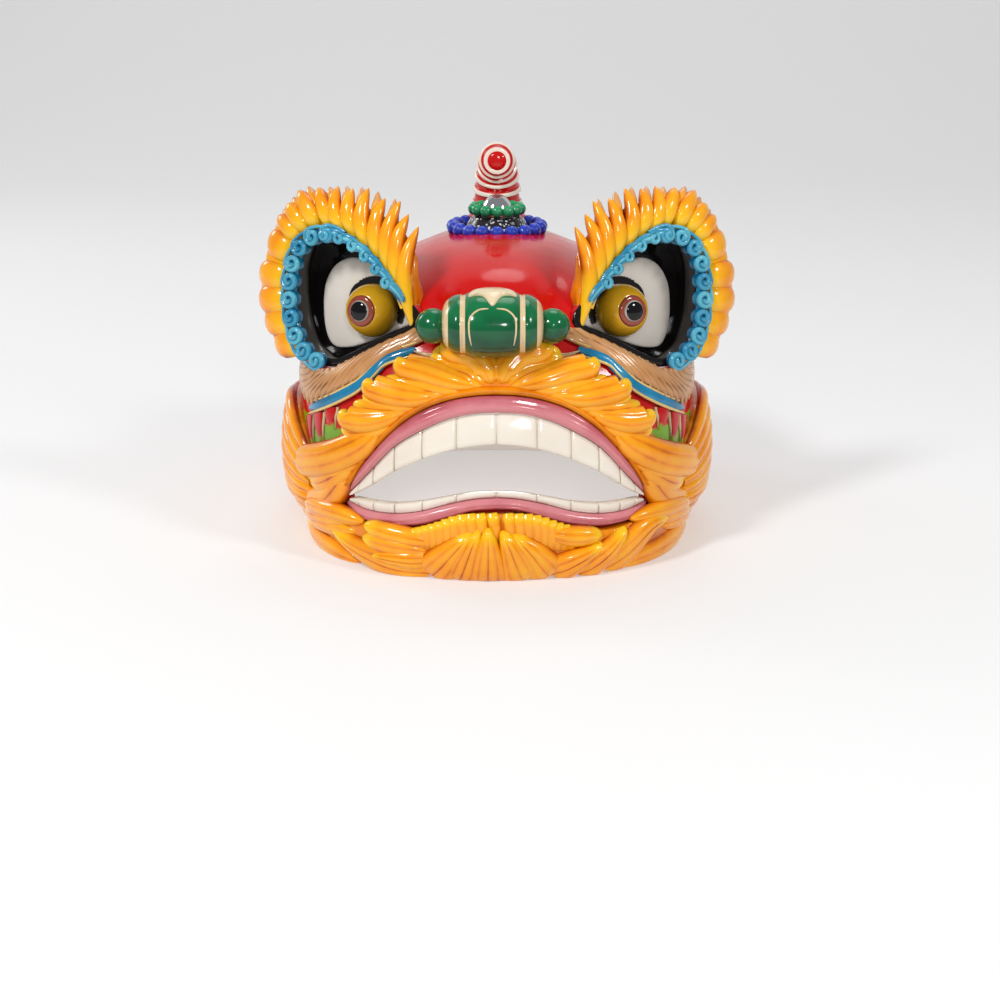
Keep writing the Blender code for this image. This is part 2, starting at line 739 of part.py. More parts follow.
def eye_fur(name, side):
    """Combed fur between the eye and the band, in slanting strands."""
    first = FUR_PAD[0][0]
    last = FUR_PAD[-1][0]
    rings = []
    for k in range(2 * FUR_STRANDS + 1):
        turn = mix(first, last, k / (2 * FUR_STRANDS))
        low, high = table(FUR_PAD, turn)
        fade = math.sin(math.pi * (k + 1) / (2 * FUR_STRANDS + 2)) ** 0.4
        lift = FUR_THICKNESS * fade * (1.0 if k % 2 else 0.62)
        ring = []
        for level, reach in ((0.0, 0.35 * lift), (0.3, lift), (0.7, lift), (1.0, 0.8 * lift),
                             (1.0, SEAT), (0.0, SEAT)):
            angle = side * (math.radians(turn) + FUR_LEAN * (0.5 - level))
            ring.append(on_skull(angle, mix(low, high, level), reach))
        rings.append(ring)
    return loft(name, rings)


def cheek_band(name, side):
    """Narrow raised band along the lower edge of the fur."""
    half = BAND_WIDTH / SKULL_HEIGHT / 2
    rings = []
    stations = 14
    for k in range(stations + 1):
        turn = mix(BAND_LINE[0][0], BAND_LINE[-1][0], k / stations)
        height = table(BAND_LINE, turn)[0]
        angle = math.radians(side * turn)
        rings.append([
            on_skull(angle, height - half, SEAT), on_skull(angle, height - half, 0.7 * BAND_THICKNESS),
            on_skull(angle, height + half, 0.7 * BAND_THICKNESS), on_skull(angle, height + half, SEAT),
        ])
    return loft(name, rings)


# Nose

def ball(name, centre, radii, turns=10, rows=6):
    bm = bmesh.new()
    bmesh.ops.create_uvsphere(bm, u_segments=turns, v_segments=rows, radius=1.0)
    scale = Matrix.Diagonal((*radii, 1.0))
    bmesh.ops.transform(bm, matrix=Matrix.Translation(centre) @ scale, verts=bm.verts)
    return add_object(name, mesh_from(bm, name))


def nose_centre():
    front = skull_point(0.0, NOSE_Z).y
    return Vector((0.0, front - 0.45 * NOSE_REACH, NOSE_Z * SKULL_HEIGHT))


def nose(name):
    """Middle lobe with a lower lobe on each side."""
    centre = nose_centre()
    body = ball(name, centre, (0.32 * NOSE_WIDTH, 0.58 * NOSE_REACH, 0.5 * NOSE_HEIGHT))
    lobes = []
    for side in (-1, 1):
        place = centre + Vector((side * 0.34 * NOSE_WIDTH, 0.08 * NOSE_REACH, -0.03 * NOSE_HEIGHT))
        lobes.append(ball("lobe", place, (0.2 * NOSE_WIDTH, 0.46 * NOSE_REACH, 0.42 * NOSE_HEIGHT)))
    return unite(body, lobes)


def nostril(name, side):
    place = nose_centre() + Vector((side * 0.56 * NOSE_WIDTH, 0.06 * NOSE_REACH, -0.05 * NOSE_HEIGHT))
    return ball(name, place, (NOSTRIL_RADIUS, NOSTRIL_RADIUS * 1.1, NOSTRIL_RADIUS))


def nose_crest(name):
    """Pointed pad where the nose meets the forehead."""
    wide = 0.5 * NOSE_CREST_WIDTH
    outline = [(-1.0, -0.2), (-0.9, 0.35), (-0.45, 0.75), (0.0, 1.0), (0.45, 0.75), (0.9, 0.35), (1.0, -0.2),
               (0.4, -0.35), (0.0, -0.75), (-0.4, -0.35)]
    base = nose_centre().z + 0.46 * NOSE_HEIGHT
    rings = []
    for scale, lift in ((1.0, -SINK), (1.0, 0.5 * NOSE_CREST_THICKNESS), (0.8, NOSE_CREST_THICKNESS)):
        ring = []
        for across, up in outline:
            height = (base + up * NOSE_CREST_HEIGHT * scale) / SKULL_HEIGHT
            ring.append(on_face(across * wide * scale, height, lift))
        rings.append(ring)
    return loft(name, rings)


# Horn and mirror boss

def crest_base():
    """Height inside the crown at which the horn and the boss start."""
    return 0.985 * SKULL_HEIGHT - CROWN_DEPTH


def horn(name):
    """Forward-leaning horn of alternating ribs and grooves on a flared foot."""
    base = crest_base()
    path = [
        # y shift, height and radius as shares of the lean, the height and the horn's radius
        (0.00, 0.00, HORN_FLARE), (0.02, 0.14, HORN_FLARE), (0.03, 0.24, 1.10 * HORN_RADIUS),
        (0.08, 0.45, 0.98 * HORN_RADIUS), (0.18, 0.62, 0.90 * HORN_RADIUS), (0.38, 0.76, 0.80 * HORN_RADIUS),
        (0.70, 0.835, 0.66 * HORN_RADIUS), (1.00, 0.842, 0.46 * HORN_RADIUS),
    ]
    stations = 17
    points = smooth(path, stations)
    sides = 10
    rings = []
    for i, (shift, height, radius) in enumerate(points):
        before = points[max(i - 1, 0)]
        after = points[min(i + 1, stations - 1)]
        forward = (after[0] - before[0]) * HORN_LEAN
        upward = (after[1] - before[1]) * HORN_HEIGHT
        along = Vector((0.0, -forward, upward)).normalized()
        front = Vector((1.0, 0.0, 0.0)).cross(along)
        rib = HORN_RIB if i % 2 and i > 4 else 0.0
        centre = Vector((0.0, HORN_Y - shift * HORN_LEAN, base + height * HORN_HEIGHT))
        rings.append([centre + Vector((1.0, 0.0, 0.0)) * (radius + rib) * math.cos(2 * math.pi * k / sides)
                      + front * (radius + rib) * math.sin(2 * math.pi * k / sides) for k in range(sides)])
    return loft(name, rings)


def mirror_cone(name):
    profile = [(0.0, 0.0), (BOSS_RADIUS, 0.0), (BOSS_RADIUS, 0.18 * BOSS_HEIGHT),
               (BOSS_TOP_RADIUS, BOSS_HEIGHT), (0.0, BOSS_HEIGHT)]
    return turned(name, profile, Matrix.Translation((0.0, BOSS_Y, crest_base())), steps=20)


def mirror(name):
    """Silvered dome on top of the boss."""
    profile = [(0.0, 0.0), (MIRROR_RADIUS, 0.0), (0.86 * MIRROR_RADIUS, 0.5 * MIRROR_HEIGHT),
               (0.5 * MIRROR_RADIUS, 0.86 * MIRROR_HEIGHT), (0.0, MIRROR_HEIGHT)]
    top = crest_base() + BOSS_HEIGHT + CLEARANCE
    return turned(name, profile, Matrix.Translation((0.0, BOSS_Y, top)))


def bead_ring(name, ring_radius, height, bead_radius):
    """Ring of round beads threaded close together, fused where they touch."""
    count = int(2 * math.pi * ring_radius / (1.9 * bead_radius))
    sides = 10
    rings = []
    for i in range(count):
        for along in (-0.93, -0.5, 0.5):
            angle = 2 * math.pi * i / count + along * bead_radius / ring_radius
            radius = bead_radius * math.sqrt(1 - along * along)
            out = Vector((math.sin(angle), -math.cos(angle), 0.0))
            centre = Vector((0.0, BOSS_Y, height)) + out * ring_radius
            rings.append([centre + out * radius * math.cos(2 * math.pi * k / sides)
                          + Vector((0.0, 0.0, radius * math.sin(2 * math.pi * k / sides)))
                          for k in range(sides)])
    return loft(name, rings, closed=True)


# Mouth

def mouth_row(share):
    return table(MOUTH_ROWS, abs(share))


def mouth_stations(reach):
    """Shares along the mouth at each joint and each tooth's middle, out to a reach."""
    right = []
    for low, high in zip(TOOTH_JOINTS, TOOTH_JOINTS[1:]):
        right += [low, (low + high) / 2]
    right.append(TOOTH_JOINTS[-1])
    if reach > right[-1]:
        right.append(reach)
    return [-share for share in reversed(right[1:])] + right


def mouth_sweep(name, section, reach=MOUTH_END):
    """Solid swept along the mouth; the section gives (height share, lift) points at each station."""
    rings = []
    for share in mouth_stations(reach):
        x = share * MOUTH_WIDTH / 2
        rings.append([on_face(x, height, lift) for height, lift in section(share)])
    return loft(name, rings)


def mouth_hole():
    def section(share):
        upper_gum = mouth_row(share)[1]
        lower_gum = mouth_row(share)[4]
        return [(lower_gum, -4 * WALL), (lower_gum, 4 * WALL), (upper_gum, 4 * WALL), (upper_gum, -4 * WALL)]
    return as_cutter(mouth_sweep("mouth_hole", section))


def upper_lip(name):
    def section(share):
        lip_top, upper_gum = mouth_row(share)[:2]
        return [(upper_gum, SEAT), (upper_gum, 0.55 * LIP_THICKNESS),
                (mix(upper_gum, lip_top, 0.4), LIP_THICKNESS),
                (mix(upper_gum, lip_top, 0.85), 0.7 * LIP_THICKNESS), (lip_top, SEAT)]
    return mouth_sweep(name, section)


def lower_lip(name):
    def section(share):
        lower_gum, lip_bottom = mouth_row(share)[4:]
        return [(lip_bottom, SEAT), (mix(lip_bottom, lower_gum, 0.2), 0.8 * LIP_THICKNESS),
                (mix(lip_bottom, lower_gum, 0.65), LIP_THICKNESS), (lower_gum, 0.5 * LIP_THICKNESS),
                (lower_gum, SEAT)]
    return mouth_sweep(name, section)


def tooth_row(name, gum_column, bite_column):
    """Row of teeth in one piece, with a groove at each joint between two teeth."""
    gap = 2.2 * CLEARANCE / SKULL_HEIGHT
    inner = -0.55 * TOOTH_THICKNESS

    def section(share):
        row = mouth_row(share)
        gum = row[gum_column]
        bite = row[bite_column]
        gum += gap if bite > gum else -gap
        joint = any(abs(abs(share) - place) < 0.001 for place in TOOTH_JOINTS)
        outer = 0.4 * TOOTH_THICKNESS - (TOOTH_GROOVE if joint else 0.0)
        return [(gum, inner), (gum, outer), (mix(gum, bite, 0.6), 1.2 * outer), (bite, 0.9 * outer),
                (bite, inner)]
    return mouth_sweep(name, section, TOOTH_JOINTS[-1])


# Manes and beard

def upper_mane(name):
    """Moustache of big curling locks swept out from above the lip."""
    body = pad(name, mirrored_rows(MANE_PAD), MANE_THICKNESS, 18)
    locks = []
    for route, share in UPPER_LOCKS:
        for side in (-1, 1):
            turned_route = [(side * turn, height) for turn, height in route]
            locks.append(skull_lock("lock", turned_route, share * LOCK_WIDTH, LOCK_THICKNESS,
                                    0.8 * MANE_THICKNESS, 1.3 * MANE_THICKNESS))
    return thin(unite(body, locks), 0.55)


def beard(name):
    """Beard round the foot of the jaw, with flame-shaped locks."""
    body = pad(name, mirrored_rows(BEARD_PAD), BEARD_THICKNESS, 20, levels=(0.0, 0.5, 1.0), edge=0.8)
    locks = []
    for route, share in BEARD_LOCKS:
        locks.append(skull_lock("lock", route, share * LOCK_WIDTH, BEARD_LOCK_THICKNESS,
                                0.9 * BEARD_THICKNESS, 1.0 * BEARD_THICKNESS, rows=5))
    return thin(unite(body, locks), 0.5)


def side_mane(name, side):
    """Stacked wavy ribs of hair behind the cheek."""
    first = SIDE_PAD[0][0]
    last = SIDE_PAD[-1][0]
    stations = 6
    levels = 2 * SIDE_RIBS
    rings = []
    for k in range(stations + 1):
        turn = mix(first, last, k / stations)
        angle = side * math.radians(turn)
        low, high = table(SIDE_PAD, turn)
        fade = (0.62, 0.9, 1.0, 1.0, 0.85, 0.6, 0.28)[k]
        sag = -0.015 * math.sin(2 * math.pi * k / stations)
        ring = []
        for i in range(levels + 1):
            level = i / levels
            ripple = 1.0 if i % 2 else 0.66
            swell = 0.35 + 0.65 * math.sin(math.pi * min(level / 0.6, 1.0) / 2 if level < 0.3 else
                                           math.pi * (1 - level) / 1.4)
            height = mix(low, high, level) + (sag if 0 < i < levels else 0.0)
            ring.append(on_skull(angle, height, SIDE_MANE_THICKNESS * fade * swell * ripple))
        ring += [on_skull(angle, mix(low, high, level), SEAT) for level in (1.0, 0.5, 0.0)]
        rings.append(ring)
    return loft(name, rings)


def floor_cutter():
    """Block below the floor, for the flat base of what stands on it."""
    bm = bmesh.new()
    bmesh.ops.create_cube(bm, size=1.0)
    reach = 2 * (SKULL_WIDTH + SKULL_FRONT + SKULL_BACK)
    deep = 20 * WALL
    bmesh.ops.transform(bm, verts=bm.verts, matrix=Matrix.Translation((0, 0, -deep / 2))
                        @ Matrix.Diagonal((reach, reach, deep, 1.0)))
    return as_cutter(add_object("floor_cut", mesh_from(bm, "floor_cut")))


def head_shell(name, barrels, floor):
    """Hollow ceramic skull, open below, with its mouth and eye sockets cut through."""
    shell = skull_body(name, 0.0)
    hollow = as_cutter(skull_body("hollow", -WALL, 28, SKULL_SECTIONS[::2]))
    boolean(shell, hollow, "DIFFERENCE")
    boolean(shell, floor, "DIFFERENCE")
    boolean(shell, mouth_hole(), "DIFFERENCE")
    bake(shell)
    return trim(shell, barrels)


def build():
    for old in list(bpy.data.objects):
        bpy.data.objects.remove(old)
    bpy.context.scene.collection.children.link(PARTS)
    bpy.context.scene.collection.children.link(CUTTERS)

    sides = (("left", -1), ("right", 1))
    floor = floor_cutter()
    outer = as_cutter(skull_body("skull_outer", 0.0))
    barrels = {side: eye_barrel("barrel_" + word, side) for word, side in sides}
    shell = paint(head_shell("head_shell", list(barrels.values()), floor), "red")

    nose_body = trim(nose("nose"), [outer])
    paint(nose_body, "green")
    crest = paint(trim(nose_crest("nose_crest"), [outer, nose_body]), "cream")
    nostrils = [paint(trim(nostril("nostril_" + word, side), [outer, nose_body]), "green")
                for word, side in sides]
    nose_parts = [nose_body, crest] + nostrils

    horn_body = paint(trim(horn("horn"), [outer]), "red")
    cone = paint(trim(bake(mirror_cone("mirror_cone")), [outer, horn_body]), "black")
    green_height = crest_base() + BOSS_HEIGHT + GREEN_BEAD_RADIUS + 2 * CLEARANCE
    green = bead_ring("green_beads", BOSS_TOP_RADIUS, green_height, GREEN_BEAD_RADIUS)
    paint(trim(green, [horn_body, cone]), "bead_green")
    blue_height = crest_base() + CROWN_DEPTH + 0.3 * BLUE_BEAD_RADIUS
    blue = bead_ring("blue_beads", BOSS_RADIUS + 0.75 * BLUE_BEAD_RADIUS, blue_height, BLUE_BEAD_RADIUS)
    paint(trim(blue, [outer, horn_body, cone]), "bead_blue")
    paint(trim(bake(mirror("mirror")), [green, horn_body]), "silver")

    lip_up = paint(trim(upper_lip("upper_lip"), [outer]), "lip_pink")
    lip_down = paint(trim(lower_lip("lower_lip"), [outer]), "lip_pink")
    teeth_up = paint(trim(tooth_row("upper_teeth", 1, 2), [lip_up, shell]), "tooth")
    teeth_down = paint(trim(tooth_row("lower_teeth", 4, 3), [lip_down, shell]), "tooth")
    mouth_parts = [lip_up, lip_down, teeth_up, teeth_down]

    mane = trim(upper_mane("upper_mane"), [outer] + mouth_parts + nose_parts)
    paint(mane, "orange")
    chin = beard("beard")
    boolean(chin, floor, "DIFFERENCE")
    paint(trim(chin, [outer] + mouth_parts + [mane]), "orange")

    for word, side in sides:
        barrel = barrels[side]
        socket = paint(eye_socket("eye_socket_" + word, side), "black")
        paint(trim(sclera("sclera_" + word, side), [socket]), "white")
        globe, height = eyeball("eyeball_" + word, side)
        paint(globe, "ochre")
        paint(iris("iris_" + word, side, height), "maroon")
        paint(pupil("pupil_" + word, side, height), "black")
        scrolls = paint(trim(scroll_rim("scroll_rim_" + word, side), [outer]), "scroll_blue")
        petals = trim(ruff("eye_ruff_" + word, side), [outer, barrel, scrolls] + nose_parts)
        paint(petals, "orange")
        band = paint(trim(cheek_band("cheek_band_" + word, side), [outer, mane] + nose_parts), "scroll_blue")
        fur_neighbours = [outer, barrel, band, petals, scrolls, mane] + nose_parts
        fur = paint(trim(eye_fur("eye_fur_" + word, side), fur_neighbours), "tan")
        side_hair = trim(side_mane("side_mane_" + word, side), [outer, mane, chin, band, fur])
        paint(side_hair, "orange")


build()
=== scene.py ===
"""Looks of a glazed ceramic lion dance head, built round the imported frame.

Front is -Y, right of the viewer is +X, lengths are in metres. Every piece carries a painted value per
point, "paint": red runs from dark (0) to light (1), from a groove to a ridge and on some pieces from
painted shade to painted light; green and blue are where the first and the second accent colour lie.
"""

import math

import bmesh
import bpy
import numpy as np
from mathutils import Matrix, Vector


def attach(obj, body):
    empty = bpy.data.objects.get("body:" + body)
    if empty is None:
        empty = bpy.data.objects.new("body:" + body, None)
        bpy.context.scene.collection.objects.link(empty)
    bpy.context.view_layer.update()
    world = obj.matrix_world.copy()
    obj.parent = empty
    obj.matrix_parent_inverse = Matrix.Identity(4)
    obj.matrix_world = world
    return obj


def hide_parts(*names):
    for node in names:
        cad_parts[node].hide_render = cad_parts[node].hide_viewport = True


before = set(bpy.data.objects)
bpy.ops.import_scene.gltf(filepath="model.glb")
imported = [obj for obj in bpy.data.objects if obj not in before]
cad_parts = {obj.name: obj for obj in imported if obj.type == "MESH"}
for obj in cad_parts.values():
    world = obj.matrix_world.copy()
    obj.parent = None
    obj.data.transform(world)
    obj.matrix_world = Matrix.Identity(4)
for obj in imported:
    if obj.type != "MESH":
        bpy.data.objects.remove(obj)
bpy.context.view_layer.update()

MM = 0.001
SIDES = (("left", -1), ("right", 1))

SKULL_WIDTH = 336 * MM
SKULL_HEIGHT = 243 * MM
SKULL_REACH = 190 * MM
WIDEST_Y = 10 * MM
WALL = 6 * MM
EYE_HALF_WIDTH = 53 * MM
EYE_HALF_HEIGHT = 47 * MM
EYE_YAW = math.radians(27)
EYE_PITCH = math.radians(8.6)
EYE_RIM = 7 * MM
EYE_RECESS = 30 * MM
EYE_FLOOR = 4 * MM
EYE_BARREL = 88 * MM
BARREL_TAPER = 0.62
BARREL_DROP = 20 * MM
BALL_ACROSS = -0.11
BALL_UP = -0.15
BALL_RADIUS = 21.5 * MM
BALL_SEAT = -26.2 * MM
BALL_LIFT = 5 * MM
IRIS_SEAT_RADIUS = 13 * MM
SCLERA_SEAT = -29.6 * MM
PUPIL_RADIUS = 8.6
CREST_BASE = 0.985 * SKULL_HEIGHT - 8 * MM
BOSS_Y = 27 * MM
HORN_Y = 62 * MM
MOUTH_HALF = 120 * MM
MOUTH_END = 0.985
CUT_REACH = 24
CURL_RADIUS = 6.9 * MM
CURLS = 10
FEATHERS = 5
FUR_LOCKS = 19
SIDE_RIBS = 9
NOSE_LEVEL = 0.81
NOSE_HALF = 39
NOSE_DEPTH = 33
NOSE_RISE = 25.5
HORN_LEAN = 38 * MM
HORN_RISE = 79 * MM
RING_PITCH = 12.5
RINGS_FROM = 19
CAMERA_PLACE = (0.0026, -1.5, 0.483)
CAMERA_TILT = math.radians(72.3)
CAMERA_LENS = 64.0
CAMERA_SENSOR = 36.0
LIGHT_TARGET = Vector((0, -0.02, 0.14))
# place, diameter, power in watts
SOFTBOXES = [
    ((-1.3, -1.5, 1.9), 0.5, 36), ((1.6, -1.2, 1.5), 0.45, 17), ((0.2, 0.9, 2.0), 1.0, 5),
    ((0.3, -2.3, 1.1), 0.25, 7), ((-1.8, 1.2, 1.2), 0.8, 9),
]
GLOW_PLACE = (0, -0.02, 0.12)
GLOW_POWER = 0.22
WORLD_LIGHT = 0.27
FLOOR_TONE = 0.60
FLOOR_LIGHT = 0.3
PALE_WHITE = (1.0, 1.0, 1.0, 1.0)

# height, half width, front reach, back reach as shares; roundness of the section
SKULL = np.array([
    (0.000, 0.881, 0.979, 0.905, 2.6), (0.123, 0.940, 1.000, 0.968, 2.6), (0.288, 0.988, 0.979, 1.000, 2.6),
    (0.453, 1.000, 0.947, 1.000, 2.6), (0.597, 0.970, 0.895, 0.968, 2.6), (0.700, 0.929, 0.821, 0.916, 2.5),
    (0.782, 0.845, 0.758, 0.842, 2.4), (0.844, 0.702, 0.705, 0.747, 2.2), (0.893, 0.548, 0.653, 0.653, 2.1),
    (0.938, 0.405, 0.563, 0.537, 2.0), (0.971, 0.286, 0.421, 0.389, 2.0), (0.992, 0.150, 0.230, 0.220, 2.0),
])
EYE_OPENING = [
    (-1.03, -0.26), (-0.85, 0.03), (-0.66, 0.26), (-0.44, 0.52), (-0.16, 0.78), (0.11, 0.94),
    (0.38, 1.02), (0.65, 0.98), (0.85, 0.83), (0.97, 0.58), (1.01, 0.27), (1.00, -0.07),
    (0.94, -0.42), (0.80, -0.78), (0.54, -0.98), (0.27, -1.00), (0.01, -0.88), (-0.44, -0.60),
]
SCLERA_EDGE = [
    (0.32, 0.72), (-0.01, 0.66), (-0.27, 0.42), (-0.54, 0.03), (-0.80, -0.26), (-0.44, -0.48),
    (0.05, -0.74), (0.36, -0.85), (0.62, -0.84), (0.77, -0.61), (0.84, -0.20), (0.83, 0.20),
    (0.71, 0.50), (0.53, 0.66),
]
# root across, root up, tip across, tip up
PETALS = np.array([
    (0.82, -0.83, 1.43, -0.91), (1.00, -0.51, 1.64, -0.53), (1.10, -0.14, 1.77, -0.16),
    (1.14, 0.25, 1.785, 0.30), (1.12, 0.68, 1.64, 0.92), (1.02, 0.95, 1.50, 1.33),
    (0.85, 1.12, 1.33, 1.62), (0.60, 1.18, 1.02, 1.88), (0.30, 1.16, 0.54, 1.90),
    (0.03, 1.07, 0.20, 1.94), (-0.24, 0.86, -0.14, 1.90), (-0.50, 0.62, -0.52, 1.78),
    (-0.70, 0.34, -0.76, 1.66), (-0.94, -0.05, -0.96, 1.34),
])
# across, lip top, upper gum, upper bite, lower bite, lower gum, lip bottom
MOUTH = np.array([
    (0.000, 0.580, 0.527, 0.428, 0.280, 0.259, 0.222), (0.150, 0.576, 0.523, 0.422, 0.276, 0.253, 0.216),
    (0.320, 0.560, 0.504, 0.405, 0.261, 0.235, 0.189), (0.500, 0.523, 0.463, 0.372, 0.241, 0.208, 0.165),
    (0.670, 0.457, 0.407, 0.327, 0.227, 0.193, 0.154), (0.830, 0.362, 0.317, 0.270, 0.222, 0.191, 0.158),
    (0.940, 0.272, 0.251, 0.232, 0.219, 0.200, 0.173), (1.000, 0.226, 0.216, 0.213, 0.211, 0.206, 0.196),
])
# distance from the nose's middle in mm, share of its full size
NOSE_SHARE = [
    (0, 1.0), (8, 0.995), (14, 0.975), (18.5, 0.93), (21, 0.875), (22.5, 0.85), (24.5, 0.87),
    (28, 0.86), (32, 0.79), (35, 0.70), (37, 0.60), (38.5, 0.45), (39, 0.30),
]
TOOTH_JOINTS = [0.0, 0.26, 0.48, 0.66, 0.80, 0.90, 0.96]
# turn in degrees, low, high
MANE_PAD = [
    (0, 0.592, 0.685), (6, 0.592, 0.695), (12, 0.578, 0.682), (18, 0.545, 0.650), (24, 0.480, 0.620),
    (30, 0.390, 0.560), (36, 0.300, 0.500), (42, 0.235, 0.420), (50, 0.190, 0.360), (60, 0.150, 0.300),
]
BEARD_PAD = [
    (0, 0.0, 0.212), (6, 0.0, 0.205), (12, 0.0, 0.175), (20, 0.0, 0.150), (28, 0.0, 0.145),
    (36, 0.0, 0.160), (43, 0.0, 0.185), (52, 0.0, 0.165), (62, 0.0, 0.130), (74, 0.0, 0.090),
    (86, 0.0, 0.060),
]
SIDE_PAD = [
    (61, 0.030, 0.330), (68, 0.030, 0.390), (76, 0.030, 0.440), (88, 0.030, 0.450), (102, 0.030, 0.420),
]
SIDE_FADE = [(61, 0.35), (68, 0.75), (75, 1.0), (82, 1.0), (88, 0.85), (95, 0.6), (102, 0.28)]
FUR_PAD = [
    (20, 0.716, 0.745), (27, 0.690, 0.750), (34, 0.620, 0.740), (42, 0.570, 0.730), (50, 0.525, 0.730),
    (59, 0.490, 0.730), (70, 0.520, 0.720), (78, 0.575, 0.700),
]
BAND_LINE = [(19, 0.706), (27, 0.672), (30, 0.640), (35, 0.588), (42, 0.546), (50, 0.508), (60, 0.468)]
# turn and height from root to tip, width in mm, turn of the curled end in degrees, + upwards
UPPER_LOCKS = [
    ([(34, 0.368), (41, 0.300), (50, 0.250), (60, 0.228)], 20, 0),
    ([(30, 0.418), (37, 0.352), (48, 0.288), (64, 0.238)], 22, 0),
    ([(26, 0.462), (33, 0.402), (44, 0.345), (59, 0.298)], 21, 0),
    ([(38, 0.325), (43, 0.250), (51, 0.185), (62, 0.150)], 26, 200),
    ([(22, 0.490), (28, 0.458), (34, 0.442), (39.5, 0.450)], 16, 0),
    ([(20, 0.514), (26, 0.494), (31, 0.484), (35.5, 0.486)], 14, 0),
    ([(17, 0.538), (23, 0.524), (29, 0.522), (35.5, 0.530)], 17, 0),
    ([(14, 0.556), (20, 0.546), (26, 0.550), (32.5, 0.560)], 17, 0),
    ([(11, 0.574), (17, 0.570), (23, 0.576), (28.0, 0.584)], 15, 0),
    ([(8, 0.586), (14, 0.586), (20, 0.600), (26, 0.614)], 17, 0),
    ([(5, 0.598), (10.5, 0.604), (17, 0.624), (23, 0.636)], 18, 0),
    ([(2.6, 0.604), (8, 0.622), (14, 0.640), (19.5, 0.648)], 15, 0),
    ([(1.5, 0.606), (5, 0.634), (10, 0.650), (15, 0.658)], 20, 0),
    ([(0.6, 0.618), (4, 0.660), (9, 0.674), (14, 0.678)], 19, 0),
    ([(0.4, 0.612), (1.0, 0.650), (3.6, 0.692), (8.0, 0.704)], 19, 0),
    ([(0.3, 0.650), (3.2, 0.694), (8, 0.704), (13.5, 0.694)], 16, 0),
]
# turn and height from root to tip, width in mm, layer
BEARD_LOCKS = [
    ([(-33, 0.160), (-43, 0.168), (-56, 0.158), (-66, 0.135)], 15, 0),
    ([(33, 0.168), (43, 0.172), (56, 0.162), (67, 0.140)], 15, 0),
    ([(45, 0.145), (55, 0.140), (68, 0.115)], 14, 0),
    ([(-38, 0.150), (-54, 0.130), (-69, 0.100)], 15, 0),
    ([(-36, 0.122), (-52, 0.112), (-66, 0.088)], 15, 0),
    ([(-12, 0.118), (-22, 0.132), (-33, 0.152)], 17, 0),
    ([(-14, 0.092), (-23, 0.098), (-34, 0.112)], 18, 1),
    ([(-38, 0.012), (-50, 0.018), (-61, 0.038), (-69, 0.078)], 27, 1),
    ([(-14, 0.024), (-25, 0.040), (-36, 0.078), (-46, 0.118)], 30, 2),
    ([(-15, 0.062), (-23, 0.070), (-31, 0.074)], 17, 3),
    ([(47, 0.118), (60, 0.108), (70, 0.084)], 15, 0),
    ([(9, 0.150), (16, 0.136), (24, 0.136)], 16, 0),
    ([(30, 0.018), (46, 0.030), (60, 0.045), (70, 0.075)], 27, 1),
    ([(26, 0.025), (33, 0.088), (40, 0.142), (48, 0.150)], 28, 2),
    ([(18, 0.016), (25, 0.080), (31, 0.150)], 25, 2),
    ([(11, 0.026), (17, 0.066), (24, 0.112)], 25, 2),
    ([(-13, 0.020), (-8, 0.092), (-3.5, 0.155)], 30, 3),
    ([(10, 0.020), (6, 0.092), (2.0, 0.152)], 29, 3),
    ([(-6.5, 0.006), (-4.4, 0.088), (-2.2, 0.166)], 26, 4),
    ([(4.2, 0.006), (2.3, 0.088), (0.4, 0.164)], 29, 4),
    ([(-1.0, 0.006), (-0.9, 0.088), (-0.9, 0.175)], 29, 5),
]
# place along a lock, width, thickness
FAN = [(0.0, 1.0, 0.45), (0.2, 1.0, 0.9), (0.5, 0.8, 1.0), (0.8, 0.45, 0.9), (0.95, 0.22, 0.6),
       (1.0, 0.08, 0.2)]
LOCK = [(0.0, 0.15, 0.3), (0.06, 0.5, 0.6), (0.25, 0.92, 0.9), (0.55, 1.0, 1.0), (0.8, 0.8, 0.9),
        (0.95, 0.42, 0.55), (1.0, 0.1, 0.15)]
FLAME = [(0.0, 1.0, 0.8), (0.3, 0.9, 1.0), (0.6, 0.6, 1.0), (0.85, 0.3, 0.7), (1.0, 0.06, 0.2)]
EVEN = [(0.0, 0.5, 0.5), (0.12, 1.0, 1.0), (0.88, 1.0, 1.0), (1.0, 0.4, 0.4)]
FUR_SHAPE = [(0, 0.6, 0.35), (0.3, 1.0, 0.9), (0.7, 0.95, 1.0), (1.0, 0.16, 0.3)]
PLEAT = [(0, 0.9, 0.6), (0.3, 1, 1), (0.85, 1, 0.9), (1.0, 0.7, 0.4)]
RIB = [(0, 0.45, 0.5), (0.12, 0.95, 1.0), (0.6, 1.0, 1.0), (0.88, 0.7, 0.55), (1.0, 0.1, 0.12)]
ROUND_PETAL = [(0.0, 0.7, 0.7), (0.45, 1.0, 1.0), (0.75, 0.98, 0.9), (0.93, 0.62, 0.6), (1.0, 0.15, 0.2)]
FEATHER_PETAL = [(0.0, 0.3, 0.4), (0.35, 1.0, 1.0), (0.75, 0.78, 0.9), (0.93, 0.34, 0.5),
                 (1.0, 0.05, 0.12)]


# Numbers and curves

def unit(v):
    return v / np.maximum(np.linalg.norm(v, axis=-1, keepdims=True), 1e-12)


